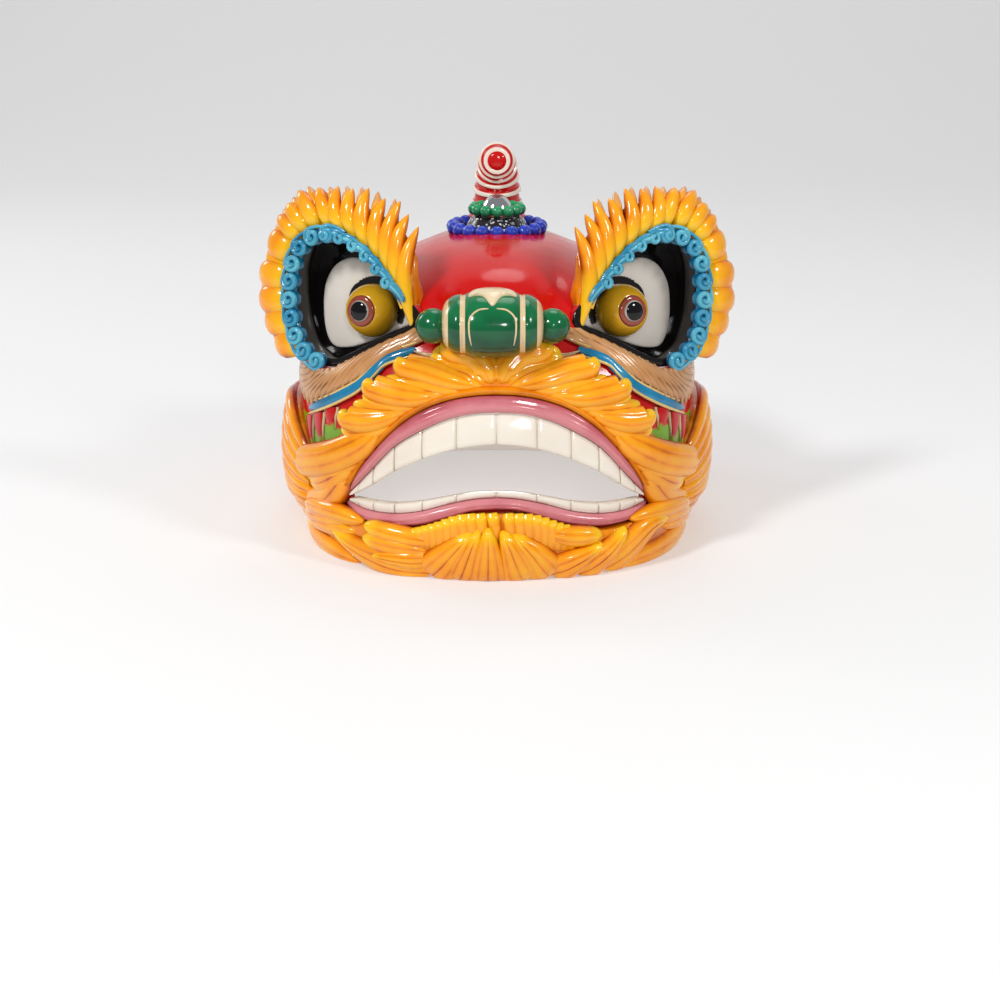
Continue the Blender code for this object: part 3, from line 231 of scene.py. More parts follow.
def interp(rows, x):
    """Smooth curve through a table's rows, read at values of its first column."""
    rows = np.asarray(rows, float)
    xs, ys = rows[:, 0], rows[:, 1:]
    x = np.clip(np.asarray(x, float), xs[0], xs[-1])
    slope = np.empty_like(ys)
    slope[1:-1] = (ys[2:] - ys[:-2]) / (xs[2:] - xs[:-2])[:, None]
    slope[0] = (ys[1] - ys[0]) / (xs[1] - xs[0])
    slope[-1] = (ys[-1] - ys[-2]) / (xs[-1] - xs[-2])
    k = np.clip(np.searchsorted(xs, x, side="right") - 1, 0, len(xs) - 2)
    h = (xs[k + 1] - xs[k])[..., None]
    t = (x - xs[k])[..., None] / h
    return ((2 * t ** 3 - 3 * t ** 2 + 1) * ys[k] + (t ** 3 - 2 * t ** 2 + t) * h * slope[k]
            + (3 * t ** 2 - 2 * t ** 3) * ys[k + 1] + (t ** 3 - t ** 2) * h * slope[k + 1])


def curve(points, count, closed=False):
    """Points spread along a smooth curve through the given ones."""
    p = np.asarray(points, float)
    if closed:
        p = np.concatenate([p, p[:3]])
        x = np.arange(len(p)) - 1
        return interp(np.column_stack([x, p]), np.linspace(0, len(points), count, endpoint=False))
    return interp(np.column_stack([np.arange(len(p)), p]), np.linspace(0, len(p) - 1, count))


def step(low, high, x):
    t = np.clip((x - low) / (high - low), 0, 1)
    return t * t * (3 - 2 * t)


def around(count):
    return np.linspace(0, 2 * math.pi, count, endpoint=False)


def toned(tone):
    """Paint with a tone and no accents."""
    return np.stack([tone, tone * 0, tone * 0], -1)


# The skull's surface

def skull(turn, height):
    """Point of the bare skull at a turn in radians from the front and a share of its height."""
    turn, height = np.broadcast_arrays(np.asarray(turn, float), np.asarray(height, float))
    top = SKULL[-1, 0]
    rows = interp(SKULL, np.minimum(height, top))
    cap = np.where(height > top, np.sqrt(np.clip((1 - height) / (1 - top), 0, 1)), 1.0)
    half, front, back = rows[..., 0] * cap, rows[..., 1] * cap, rows[..., 2] * cap
    power = 2 / rows[..., 3]
    side, ahead = np.sin(turn), np.cos(turn)
    x = half * SKULL_WIDTH / 2 * np.sign(side) * np.abs(side) ** power
    y = WIDEST_Y - np.where(ahead > 0, front, back) * SKULL_REACH * np.sign(ahead) * np.abs(ahead) ** power
    bulge = step(0.70, 0.80, height) * step(0.99, 0.90, height) * (ahead > 0)
    forehead = np.exp(-(x / (33 * MM)) ** 4)
    crease = np.exp(-((np.abs(x) - 45 * MM) / (9 * MM)) ** 2)
    y = y - 8 * MM * bulge * forehead + 5 * MM * bulge * crease
    return np.stack([x, y, height * SKULL_HEIGHT], -1)


def skull_normal(turn, height):
    turn, height = np.broadcast_arrays(np.asarray(turn, float), np.asarray(height, float))
    middle = np.clip(height, 0.012, 0.984)
    across = skull(turn + 0.012, middle) - skull(turn - 0.012, middle)
    up = skull(turn, middle + 0.01) - skull(turn, middle - 0.01)
    return unit(np.cross(across, up))


def on(turn, height, lift):
    """Point over the skull at a turn in degrees; it stays on or above the floor."""
    angle = np.radians(turn)
    point = skull(angle, height) + skull_normal(angle, height) * np.asarray(lift)[..., None]
    point[..., 2] = np.maximum(point[..., 2], 0.0)
    return point


def turn_at(x, height):
    rows = interp(SKULL, height)
    share = np.clip(np.abs(x) / (rows[..., 0] * SKULL_WIDTH / 2), 0, 1)
    return np.degrees(np.sign(x) * np.arcsin(share ** (rows[..., 3] / 2)))


def route(points, side, lift, tip_lift, count=24):
    """Centres and normals of a way over the skull."""
    way = curve(points, count)
    turn, height = side * way[:, 0], way[:, 1]
    rise = lift + (tip_lift - lift) * np.linspace(0, 1, count) ** 2
    return on(turn, height, rise), skull_normal(np.radians(turn), height)


# The eye's own frame

def eye_axes(side):
    out = np.array((side * math.sin(EYE_YAW) * math.cos(EYE_PITCH),
                    -math.cos(EYE_YAW) * math.cos(EYE_PITCH), math.sin(EYE_PITCH)))
    across = np.array((side * math.cos(EYE_YAW), math.sin(EYE_YAW), 0.0))
    return across, np.cross(across, out) * -side, out


def eye_point(side, across, up, out_by):
    """Point by shares of the opening's half sizes, and a length out of its face."""
    a, u, o = eye_axes(side)
    centre = np.array((side * 0.685 * SKULL_WIDTH / 2, WIDEST_Y - 0.566 * SKULL_REACH, 0.831 * SKULL_HEIGHT))
    across, up, out_by = np.broadcast_arrays(across, up, out_by)
    return (centre + across[..., None] * EYE_HALF_WIDTH * a + up[..., None] * EYE_HALF_HEIGHT * u
            + out_by[..., None] * o)


def outline(by, points=EYE_OPENING, count=150):
    """Smooth closed edge moved outwards by a length, as shares."""
    scale = np.array((EYE_HALF_WIDTH, EYE_HALF_HEIGHT))
    edge = curve(np.array(points) * scale, count, closed=True)
    along = unit(np.roll(edge, -1, 0) - np.roll(edge, 1, 0))
    return (edge + np.column_stack([-along[:, 1], along[:, 0]]) * by) / scale


# Pieces

class Form:
    """Collects closed skins into one piece."""

    def __init__(self):
        self.points, self.faces, self.paint, self.mats, self.count = [], [], [], [], 0

    def add(self, rings, paint=(1, 0, 0), closed=False, mat=0):
        rings = np.asarray(rings, float)
        rows, cols = rings.shape[:2]
        paint = np.broadcast_to(np.asarray(paint, float), (rows, cols, 3))
        base = self.count
        self.points.append(rings.reshape(-1, 3))
        self.paint.append(paint.reshape(-1, 3))
        r, c = np.meshgrid(np.arange(rows if closed else rows - 1), np.arange(cols), indexing="ij")
        r2, c2 = (r + 1) % rows, (c + 1) % cols
        quads = np.stack([r * cols + c, r * cols + c2, r2 * cols + c2, r2 * cols + c], -1).reshape(-1, 4)
        self.faces += (quads + base).tolist()
        mat = np.broadcast_to(mat, (rows,)).tolist()
        self.mats += [mat[i // cols] for i in range(len(quads))]
        self.count += rows * cols
        if not closed:
            for row in (0, rows - 1):
                self.points.append(rings[row].mean(0)[None])
                self.paint.append(paint[row].mean(0)[None])
                start = base + row * cols
                self.faces += [(start + i, start + (i + 1) % cols, self.count) for i in range(cols)]
                self.mats += [mat[row]] * cols
                self.count += 1

    def mesh(self, name):
        mesh = bpy.data.meshes.new(name)
        mesh.from_pydata(np.concatenate(self.points).tolist(), [], self.faces)
        bm = bmesh.new()
        bm.from_mesh(mesh)
        bmesh.ops.recalc_face_normals(bm, faces=bm.faces)
        bm.to_mesh(mesh)
        bm.free()
        mesh.polygons.foreach_set("material_index", self.mats)
        colour = np.column_stack([np.clip(np.concatenate(self.paint), 0, 1), np.ones(self.count)])
        layer = mesh.attributes.new("paint", "FLOAT_COLOR", "POINT")
        layer.data.foreach_set("color", colour.astype(np.float32).ravel())
        return mesh


def piece(name, mesh, materials, slot, *nodes, sharp=55):
    for material in materials:
        mesh.materials.append(material)
    mesh.shade_smooth()
    mesh.set_sharp_from_angle(angle=math.radians(sharp))
    obj = bpy.data.objects.new(name, mesh)
    bpy.context.scene.collection.objects.link(obj)
    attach(obj, "root")
    if nodes:
        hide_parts(*nodes)
    return obj


def lock(form, centres, normals, width, thick, ridges=3, depth=0.15, shape=LOCK, rows=40, cols=None, mat=0,
         lead=1):
    """Softly grooved lock along a way; the accent lies at its tip, or at its root when lead is -1."""
    cols = cols or 8 * ridges + 3
    centres, normals = curve(centres, rows), unit(curve(normals, rows))
    along = unit(np.gradient(centres, axis=0))
    across = unit(np.cross(along, normals))
    out = np.cross(across, along)
    t = np.linspace(0, 1, rows)
    size = interp(shape, t)
    q = np.linspace(-1, 1, cols)
    wave = np.abs(np.sin(math.pi * ridges * (q + 1) / 2)) ** 0.45
    dome = (1 - np.abs(q) ** 2.4) ** 0.5
    high = dome * (1 - depth * (1 - wave) * (0.3 + 0.7 * np.sin(math.pi * t) ** 0.5)[:, None])
    sideways = np.concatenate([q, [0.7, 0.0, -0.7]])
    rise = np.concatenate([high, np.broadcast_to([-0.45, -0.55, -0.45], (rows, 3))], 1)
    rings = (centres[:, None] + across[:, None] * (sideways[None] * (size[:, :1] * width / 2))[..., None]
             + out[:, None] * (rise * size[:, 1:] * thick)[..., None])
    rings[..., 2] = np.maximum(rings[..., 2], 0.0)
    tone = (0.2 + 0.55 * wave) * (1 - 0.5 * np.abs(q) ** 8)
    tone = np.broadcast_to(np.concatenate([tone, np.full(3, 0.15)]), (rows, cols + 3))
    tip = np.broadcast_to((t ** 3 if lead > 0 else (1 - t) ** 1.4)[:, None], tone.shape)
    form.add(rings, np.stack([tone, tip, tone * 0], -1), mat=mat)


def curled(centres, normals, radius, degrees, side):
    """Adds a coil to the end of a way."""
    if not degrees:
        return centres, normals
    end, normal = centres[-1], normals[-1]
    ahead = unit(centres[-1] - centres[-3])
    aside = np.cross(normal, ahead) * side * math.copysign(1, degrees)
    angles = np.radians(np.linspace(0, abs(degrees), 12)[1:])[:, None]
    radii = radius * (1 - 0.45 * angles / angles[-1])
    arc = end + radii * np.sin(angles) * ahead + (radius - radii * np.cos(angles)) * aside
    return np.concatenate([centres, arc]), np.concatenate([normals, np.repeat(normal[None], 11, 0)])


def pad(form, rows, thick, stations=90, levels=14, edge=0.3, side=1):
    """Cushion on the skull under the locks."""
    turns = np.linspace(rows[0][0], rows[-1][0], stations)
    reach = interp(rows, turns)
    level = np.linspace(0, 1, levels)
    share = np.linspace(0, 1, stations)
    fade = edge + (1 - edge) * np.minimum(1, 6 * np.minimum(share, 1 - share)) ** 0.5
    heights = reach[:, :1] + (reach[:, 1:2] - reach[:, :1]) * level
    dome = edge + (1 - edge) * np.sin(math.pi * level) ** 0.5
    outer = on(side * turns[:, None], heights, thick * dome[None] * fade[:, None])
    inner = on(side * turns[:, None], heights[:, ::-1][:, ::3], np.full((stations, 1), -1.0 * MM))
    tone = np.concatenate([np.full(levels, 0.4), np.zeros(inner.shape[1])])
    form.add(np.concatenate([outer, inner], 1), toned(tone))


def both_ways(rows):
    return [(-r[0],) + tuple(r[1:]) for r in reversed(rows[1:])] + list(rows)


def ball(form, centre, radii, paint, turns=28, rows=18):
    polar = np.linspace(0.02, math.pi - 0.02, rows)
    turn = around(turns)
    p, t = np.meshgrid(polar, turn, indexing="ij")
    local = np.stack([np.sin(p) * np.cos(t), np.sin(p) * np.sin(t), np.cos(p)], -1)
    form.add(np.asarray(centre) + local * np.asarray(radii), paint(local))


def turned(form, profile, place, paint=(1, 0, 0), steps=64):
    """Skin turned round an axis; place gives (centre, across, up, out) and the profile (radius, out)."""
    centre, a, u, o = place
    angles = around(steps)
    profile = np.asarray(profile, float)
    ring = np.cos(angles)[:, None] * a + np.sin(angles)[:, None] * u
    points = centre + profile[:, None, :1] * ring[None] + profile[:, None, 1:] * o
    colour = paint(profile, angles) if callable(paint) else paint
    form.add(points, colour)


def tube(form, centres, normals, radius, flat=1.0, paint=(1, 0, 0), rows=60, sides=10, taper=EVEN):
    """Round or flattened strand along a way."""
    centres, normals = curve(centres, rows), unit(curve(normals, rows))
    along = unit(np.gradient(centres, axis=0))
    across = unit(np.cross(along, normals))
    out = np.cross(across, along)
    size = radius * interp(taper, np.linspace(0, 1, rows))[:, :1, None]
    angles = around(sides)
    form.add(centres[:, None] + across[:, None] * (size * np.cos(angles)[None, :, None])
             + out[:, None] * (size * flat * np.sin(angles)[None, :, None]), paint)


# Glazes

def tint(r, g, b):
    """Linear colour from screen values 0 to 255."""
    linear = [((c / 255 + 0.055) / 1.055) ** 2.4 if c > 10 else c / 255 / 12.92 for c in (r, g, b)]
    return (*linear, 1.0)


def glaze(name, groove, body, crest, accent=None, second=None, rough=0.16, speckle=0.22, metallic=0.0,
          sparkle=False, coat=0.35):
    """Fired glaze that pools dark in grooves and breaks pale on ridges; colours are screen values.
    The same ramp shows the painted shade and light that some pieces carry in their tone.
    """
    material = bpy.data.materials.new(name)
    material.use_nodes = True
    nodes, links = material.node_tree.nodes, material.node_tree.links
    shader = nodes["Principled BSDF"]
    where = nodes.new("ShaderNodeTexCoord")
    values = nodes.new("ShaderNodeAttribute")
    values.attribute_name = "paint"
    split = nodes.new("ShaderNodeSeparateColor")
    links.new(values.outputs["Color"], split.inputs["Color"])

    def noise(scale, detail):
        node = nodes.new("ShaderNodeTexNoise")
        node.inputs["Scale"].default_value = scale
        node.inputs["Detail"].default_value = detail
        links.new(where.outputs["Object"], node.inputs["Vector"])
        return node.outputs["Fac"]

    def mixed(kind, factor, first, other):
        node = nodes.new("ShaderNodeMix")
        node.data_type = "RGBA"
        node.blend_type = kind
        for socket, value in (("Factor", factor), ("A", first), ("B", other)):
            wanted = "VALUE" if socket == "Factor" else "RGBA"
            target = [s for s in node.inputs if s.name == socket and s.type == wanted][0]
            if isinstance(value, bpy.types.NodeSocket):
                links.new(value, target)
            else:
                target.default_value = value
        return [s for s in node.outputs if s.type == "RGBA"][0]

    def ranged(value, low, high, to_low=0.0, to_high=1.0):
        node = nodes.new("ShaderNodeMapRange")
        links.new(value, node.inputs["Value"])
        node.inputs["From Min"].default_value = low
        node.inputs["From Max"].default_value = high
        node.inputs["To Min"].default_value = to_low
        node.inputs["To Max"].default_value = to_high
        return node.outputs["Result"]

    cloud = noise(38.0, 5.0)
    add = nodes.new("ShaderNodeMath")
    add.operation = "ADD"
    links.new(split.outputs["Red"], add.inputs[0])
    links.new(ranged(cloud, 0.3, 0.7, -speckle, speckle), add.inputs[1])
    ramp = nodes.new("ShaderNodeValToRGB")
    ramp.color_ramp.elements[0].color = tint(*groove)
    ramp.color_ramp.elements[0].position = 0.06
    ramp.color_ramp.elements[1].color = tint(*crest)
    middle = ramp.color_ramp.elements.new(0.48)
    middle.color = tint(*body)
    links.new(add.outputs[0], ramp.inputs["Fac"])
    colour = ramp.outputs["Color"]
    if accent:
        colour = mixed("MIX", ranged(split.outputs["Green"], 0.35, 0.65), colour, tint(*accent))
    if second:
        colour = mixed("MIX", ranged(split.outputs["Blue"], 0.35, 0.65), colour, tint(*second))
    colour = mixed("MULTIPLY", ranged(noise(9.0, 3.0), 0.35, 0.7, 0.0, 0.35), colour, (0.72, 0.66, 0.62, 1.0))
    bump = nodes.new("ShaderNodeBump")
    bump.inputs["Strength"].default_value = 0.35
    bump.inputs["Distance"].default_value = 0.0007
    if sparkle:
        cells = nodes.new("ShaderNodeTexVoronoi")
        cells.inputs["Scale"].default_value = 620.0
        links.new(where.outputs["Object"], cells.inputs["Vector"])
        sequins_and_glints = nodes.new("ShaderNodeSeparateColor")
        links.new(cells.outputs["Color"], sequins_and_glints.inputs["Color"])
        # the pale grey cells are painted glints of the sequins; the cells also give the sequins their relief
        colour = mixed("MIX", ranged(sequins_and_glints.outputs["Red"], 0.80, 0.86), colour, (0.75, 0.75, 0.78, 1.0))
        links.new(sequins_and_glints.outputs["Green"], bump.inputs["Height"])
        bump.inputs["Strength"].default_value = 1.0
    else:
        links.new(noise(70.0, 3.0), bump.inputs["Height"])
    links.new(colour, shader.inputs["Base Color"])
    links.new(bump.outputs["Normal"], shader.inputs["Normal"])
    links.new(ranged(noise(55.0, 4.0), 0.3, 0.7, rough * 0.7, rough * 1.5), shader.inputs["Roughness"])
    shader.inputs["Metallic"].default_value = metallic
    shader.inputs["IOR"].default_value = 1.5
    shader.inputs["Specular IOR Level"].default_value = 0.35
    shader.inputs["Coat Weight"].default_value = coat if metallic < 0.5 else 0.0
    shader.inputs["Coat Roughness"].default_value = 0.04
    return material


CREAM = (226, 200, 156)
RED = glaze("red_glaze", (70, 4, 6), (186, 8, 10), (206, 16, 14), (122, 176, 14),
            (240, 230, 216), speckle=0.14, coat=0.12)
BARE = glaze("inner_white", (120, 92, 70), (226, 221, 212), (240, 236, 230), rough=0.3, speckle=0.1)
ORANGE = glaze("orange_glaze", (168, 60, 2), (245, 146, 6), (254, 184, 30), (252, 196, 24),
               speckle=0.2)
PETAL = glaze("petal_glaze", (160, 56, 4), (244, 150, 10), (252, 184, 36), (222, 160, 100),
              speckle=0.2)
TAN = glaze("tan_glaze", (66, 32, 14), (186, 128, 76), (212, 162, 110), speckle=0.18)
SCROLL = glaze("scroll_glaze", (4, 50, 92), (22, 128, 172), (110, 200, 216), (150, 218, 226),
               (226, 196, 120), speckle=0.16)
GREEN = glaze("green_glaze", (0, 36, 22), (0, 92, 52), (10, 128, 74), CREAM, speckle=0.2)
CREAMY = glaze("cream_glaze", (120, 84, 48), (214, 186, 140), (236, 216, 178), speckle=0.2)
BLACK = glaze("black_glaze", (4, 3, 3), (12, 9, 9), (20, 16, 16), rough=0.08, speckle=0.05,
              coat=0.1)
SEQUIN = glaze("sequin_glaze", (6, 6, 8), (16, 15, 18), (30, 28, 32), rough=0.2, sparkle=True)
WHITE = glaze("white_glaze", (150, 128, 112), (222, 212, 200), (236, 228, 218), (14, 8, 8),
              speckle=0.12)
OCHRE = glaze("ochre_glaze", (120, 66, 6), (206, 146, 16), (226, 172, 34), rough=0.1, speckle=0.2)
MAROON = glaze("maroon_glaze", (40, 10, 8), (112, 42, 34), (150, 70, 50), rough=0.1, speckle=0.2)
PUPIL = glaze("pupil_glaze", (4, 3, 3), (8, 6, 6), (12, 9, 9), (190, 184, 178), rough=0.06,
              speckle=0.02, coat=0.05)
SILVER = glaze("mirror_dome", (120, 124, 130), (206, 210, 216), (226, 230, 234), rough=0.05,
               metallic=1.0, speckle=0.06)
BEAD_GREEN = glaze("bead_green_glaze", (0, 40, 24), (14, 128, 78), (40, 160, 104), rough=0.08)
BEAD_BLUE = glaze("bead_blue_glaze", (4, 8, 60), (18, 38, 158), (48, 78, 200), rough=0.08)
PINK = glaze("pink_glaze", (120, 44, 52), (190, 92, 104), (216, 134, 140), rough=0.14)
TOOTH = glaze("tooth_glaze", (170, 146, 116), (232, 222, 206), (244, 238, 226), rough=0.12,
              speckle=0.12)


# Skull

def build_shell():
    """Red outside, bare white inside, with the mouth and both eye barrels cut through."""
    segments = 176
    turns = 2 * math.pi * (np.arange(segments) + 0.5) / segments
    heights = np.concatenate([np.linspace(0, 0.86, 62), 1 - 0.14 * np.linspace(1, 0, 34)[1:] ** 1.8])
    heights[-1] = 0.9996
    outer = skull(turns[None], heights[:, None])
    low = np.concatenate([np.linspace(0, 0.85, 30), 1 - 0.15 * np.linspace(1, 0.12, 14)[1:] ** 1.5])
    inner = skull(turns[None], low[:, None]) - skull_normal(turns[None], low[:, None]) * WALL
    inner[0, :, 2] = 0.0
    form = Form()
    form.add(np.concatenate([inner[::-1], outer]))
    mesh = form.mesh("head_shell")
    shell = bpy.data.objects.new("shell_blank", mesh)
    bpy.context.scene.collection.objects.link(shell)
    cutters = [mouth_cutter()] + [barrel_cutter(side) for word, side in SIDES]
    for cutter in cutters:
        modifier = shell.modifiers.new("cut", "BOOLEAN")
        modifier.operation = "DIFFERENCE"
        modifier.object = cutter
    mesh = bpy.data.meshes.new_from_object(shell.evaluated_get(bpy.context.evaluated_depsgraph_get()))
    for obj in [shell] + cutters:
        bpy.data.objects.remove(obj)
    mesh.materials.clear()
    count = len(mesh.vertices)
    co = np.empty(count * 3, np.float32)
    mesh.vertices.foreach_get("co", co)
    co = co.reshape(-1, 3) / MM
    x, y, z = np.abs(co[:, 0]), co[:, 1], co[:, 2]
    green = step(112, 117, x) * step(66, 72, z) * step(108, 104, z) * step(-60, -68, y)
    # painted shade: the front of the forehead is painted darker in the creases beside its bulge, near |x| 46
    # mm
    tone = 1 - 0.2 * step(14, 3, np.abs(x - 46)) * step(176, 190, z) * (y < -40)
    colour = np.column_stack([tone, green, np.zeros(count), np.ones(count)])
    mesh.attributes.remove(mesh.attributes["paint"])
    layer = mesh.attributes.new("paint", "FLOAT_COLOR", "POINT")
    layer.data.foreach_set("color", colour.astype(np.float32).ravel())
    faces = len(mesh.polygons)
    centre, normal = np.empty(faces * 3), np.empty(faces * 3)
    mesh.polygons.foreach_get("center", centre)
    mesh.polygons.foreach_get("normal", normal)
    outwards = centre.reshape(-1, 3) - np.array((0, 10, 90)) * MM
    inside = (outwards * normal.reshape(-1, 3)).sum(1) < 0
    mesh.polygons.foreach_set("material_index", inside.astype(np.int32))
    piece("shell", mesh, [RED, BARE], "red_glaze", "head_shell", sharp=35)


def plain_object(form, name):
    obj = bpy.data.objects.new(name, form.mesh(name))
    bpy.context.scene.collection.objects.link(obj)
    return obj


def mouth_sweep(form, section, reach=MOUTH_END, count=140, paint=(1, 0, 0)):
    share = np.linspace(-reach, reach, count)
    heights, lifts = section(share)
    turns = turn_at(share[:, None] * MOUTH_HALF, heights)
    form.add(on(turns, heights, lifts), paint)


def mouth_cutter():
    def section(share):
        row = interp(MOUTH, np.abs(share))
        heights = row[:, [4, 4, 1, 1]]
        return heights, np.broadcast_to(np.array((-1, 1, 1, -1)) * CUT_REACH * MM, heights.shape)
    form = Form()
    mouth_sweep(form, section)
    return plain_object(form, "mouth_cut")


def ring(side, by, out_by, scale=1.0, drop=0.0):
    edge = outline(by)
    return eye_point(side, edge[:, 0] * scale, edge[:, 1] * scale - drop, out_by)


def barrel_end(side, by):
    return ring(side, by, -EYE_BARREL, BARREL_TAPER, BARREL_DROP / EYE_HALF_HEIGHT)


def barrel_cutter(side):
    form = Form()
    by = EYE_RIM + 0.4 * MM
    form.add([ring(side, by, 40 * MM), ring(side, by, -EYE_RECESS - EYE_FLOOR), barrel_end(side, by)])
    return plain_object(form, "barrel_cut")


# Eyes

def build_eye_cup(word, side):
    floor = -EYE_RECESS - EYE_FLOOR
    cup = Form()
    cup.add([ring(side, 0, -EYE_RECESS), ring(side, 0, -1.6 * MM), ring(side, 0.4 * MM, -0.7 * MM),
             ring(side, 1.4 * MM, -0.4 * MM), ring(side, EYE_RIM - 1.4 * MM, -0.4 * MM),
             ring(side, EYE_RIM - 0.3 * MM, -0.9 * MM), ring(side, EYE_RIM, -2 * MM),
             ring(side, EYE_RIM, floor),
             barrel_end(side, EYE_RIM), barrel_end(side, 2 * MM), ring(side, 2 * MM, floor)],
            mat=[0] * 6 + [1] * 3 + [2] * 2)
    piece("socket_" + word, cup.mesh("socket"), [BLACK, RED, BARE], "black_glaze", "eye_socket_" + word)


def clear_of_eye(side, turn, height, lift, margin):
    """Whether a point over the skull lies outside the eye's rim, seen along the eye's own axis."""
    a, u, o = eye_axes(side)
    edge = outline(EYE_RIM + margin)
    bearing = np.arctan2(edge[:, 1], edge[:, 0])
    order = np.argsort(bearing)
    reach = np.hypot(edge[:, 0], edge[:, 1])[order]
    offset = on(side * turn, height, lift) - eye_point(side, 0.0, 0.0, 0.0)
    across, up = offset @ a / EYE_HALF_WIDTH, offset @ u / EYE_HALF_HEIGHT
    return np.hypot(across, up) > np.interp(np.arctan2(up, across), bearing[order], reach, period=2 * math.pi)


def fur_rows(side):
    """The fur's low and high edges, its high one kept below the eye's rim."""
    rows = []
    for turn in np.linspace(FUR_PAD[0][0], FUR_PAD[-1][0], 40):
        low, high = interp(FUR_PAD, turn)
        levels = np.linspace(low + 0.012, high + 0.04, 60)
        clear = clear_of_eye(side, turn, levels, np.full(60, 3 * MM), 0.5 * MM)
        top = levels[-1] if clear.all() else levels[max(0, int(np.argmin(clear)) - 1)]
        rows.append((turn, low, min(top, high + 0.02)))
    return rows


def build_eye(word, side):
    a, u, o = eye_axes(side)
    build_eye_cup(word, side)
    plate = Form()
    edge = outline(0, SCLERA_EDGE)
    steps = ((1.0, 0.0), (1.0, 1.4), (0.985, 2.3), (0.95, 2.9), (0.85, 3.3), (0.6, 3.5), (0.35, 3.6),
             (0.1, 3.6))
    rings = [eye_point(side, edge[:, 0] * s, edge[:, 1] * s, SCLERA_SEAT + h * MM) for s, h in steps]
    rings = curve(np.array(rings).reshape(8, -1), 40).reshape(40, -1, 3)
    ball_centre = eye_point(side, BALL_ACROSS, BALL_UP, BALL_SEAT)
    flat = rings - ball_centre
    flat = flat - (flat @ o)[..., None] * o
    gap = np.linalg.norm(flat, axis=-1) / MM
    upper = (flat @ u) / MM - 0.35 * (flat @ a) / MM
    black = step(20, 22, gap) * step(28.5, 26.8, gap) * step(-4, 2, upper)
    # painted shade: the white is painted darker close round the eyeball and lighter further out
    plate.add(rings, np.stack([0.45 + 0.5 * step(20, 32, gap), black, black * 0], -1))
    piece("white_" + word, plate.mesh("white"), [WHITE], "white_glaze", "sclera_" + word)

    place = (ball_centre, a, u, o)
    top = math.sqrt(BALL_RADIUS ** 2 - IRIS_SEAT_RADIUS ** 2)
    arc = np.linspace(-math.asin(BALL_LIFT / BALL_RADIUS), math.asin(top / BALL_RADIUS), 26)
    globe = Form()
    profile = np.column_stack([BALL_RADIUS * np.cos(arc), BALL_LIFT + BALL_RADIUS * np.sin(arc)])
    turned(globe, profile, place)
    piece("globe_" + word, globe.mesh("globe"), [OCHRE], "ochre_glaze", "eyeball_" + word)
    disc = Form()
    height = BALL_LIFT + top
    rim = [(12.6, -0.6), (12.6, 0.6), (12.1, 1.5), (11, 2.1), (9.4, 2.4), (6, 2.5)]
    turned(disc, [(r * MM, height + h * MM) for r, h in rim], place)
    piece("iris_" + word, disc.mesh("iris"), [MAROON], "maroon_glaze", "iris_" + word, sharp=80)
    dome = Form()
    arc = np.linspace(0, math.pi / 2, 16)[:-1]

    def pale_ring(profile, angles):
        pale = step(8.7, 8.5, profile[:, 0] / MM) * step(7.7, 7.9, profile[:, 0] / MM)
        colour = np.stack([pale * 0 + 1, pale, pale * 0], -1)
        return np.broadcast_to(colour[:, None], (len(profile), len(angles), 3))
    cap = np.column_stack([PUPIL_RADIUS * np.cos(arc), 2.4 + 3.4 * np.sin(arc)])
    shape = np.concatenate([[(PUPIL_RADIUS, 1.9)], cap])
    turned(dome, [(r * MM, height + h * MM) for r, h in shape], place, pale_ring)
    piece("pupil_shine_" + word, dome.mesh("pupil"), [PUPIL], "black_glaze", "pupil_" + word, sharp=80)


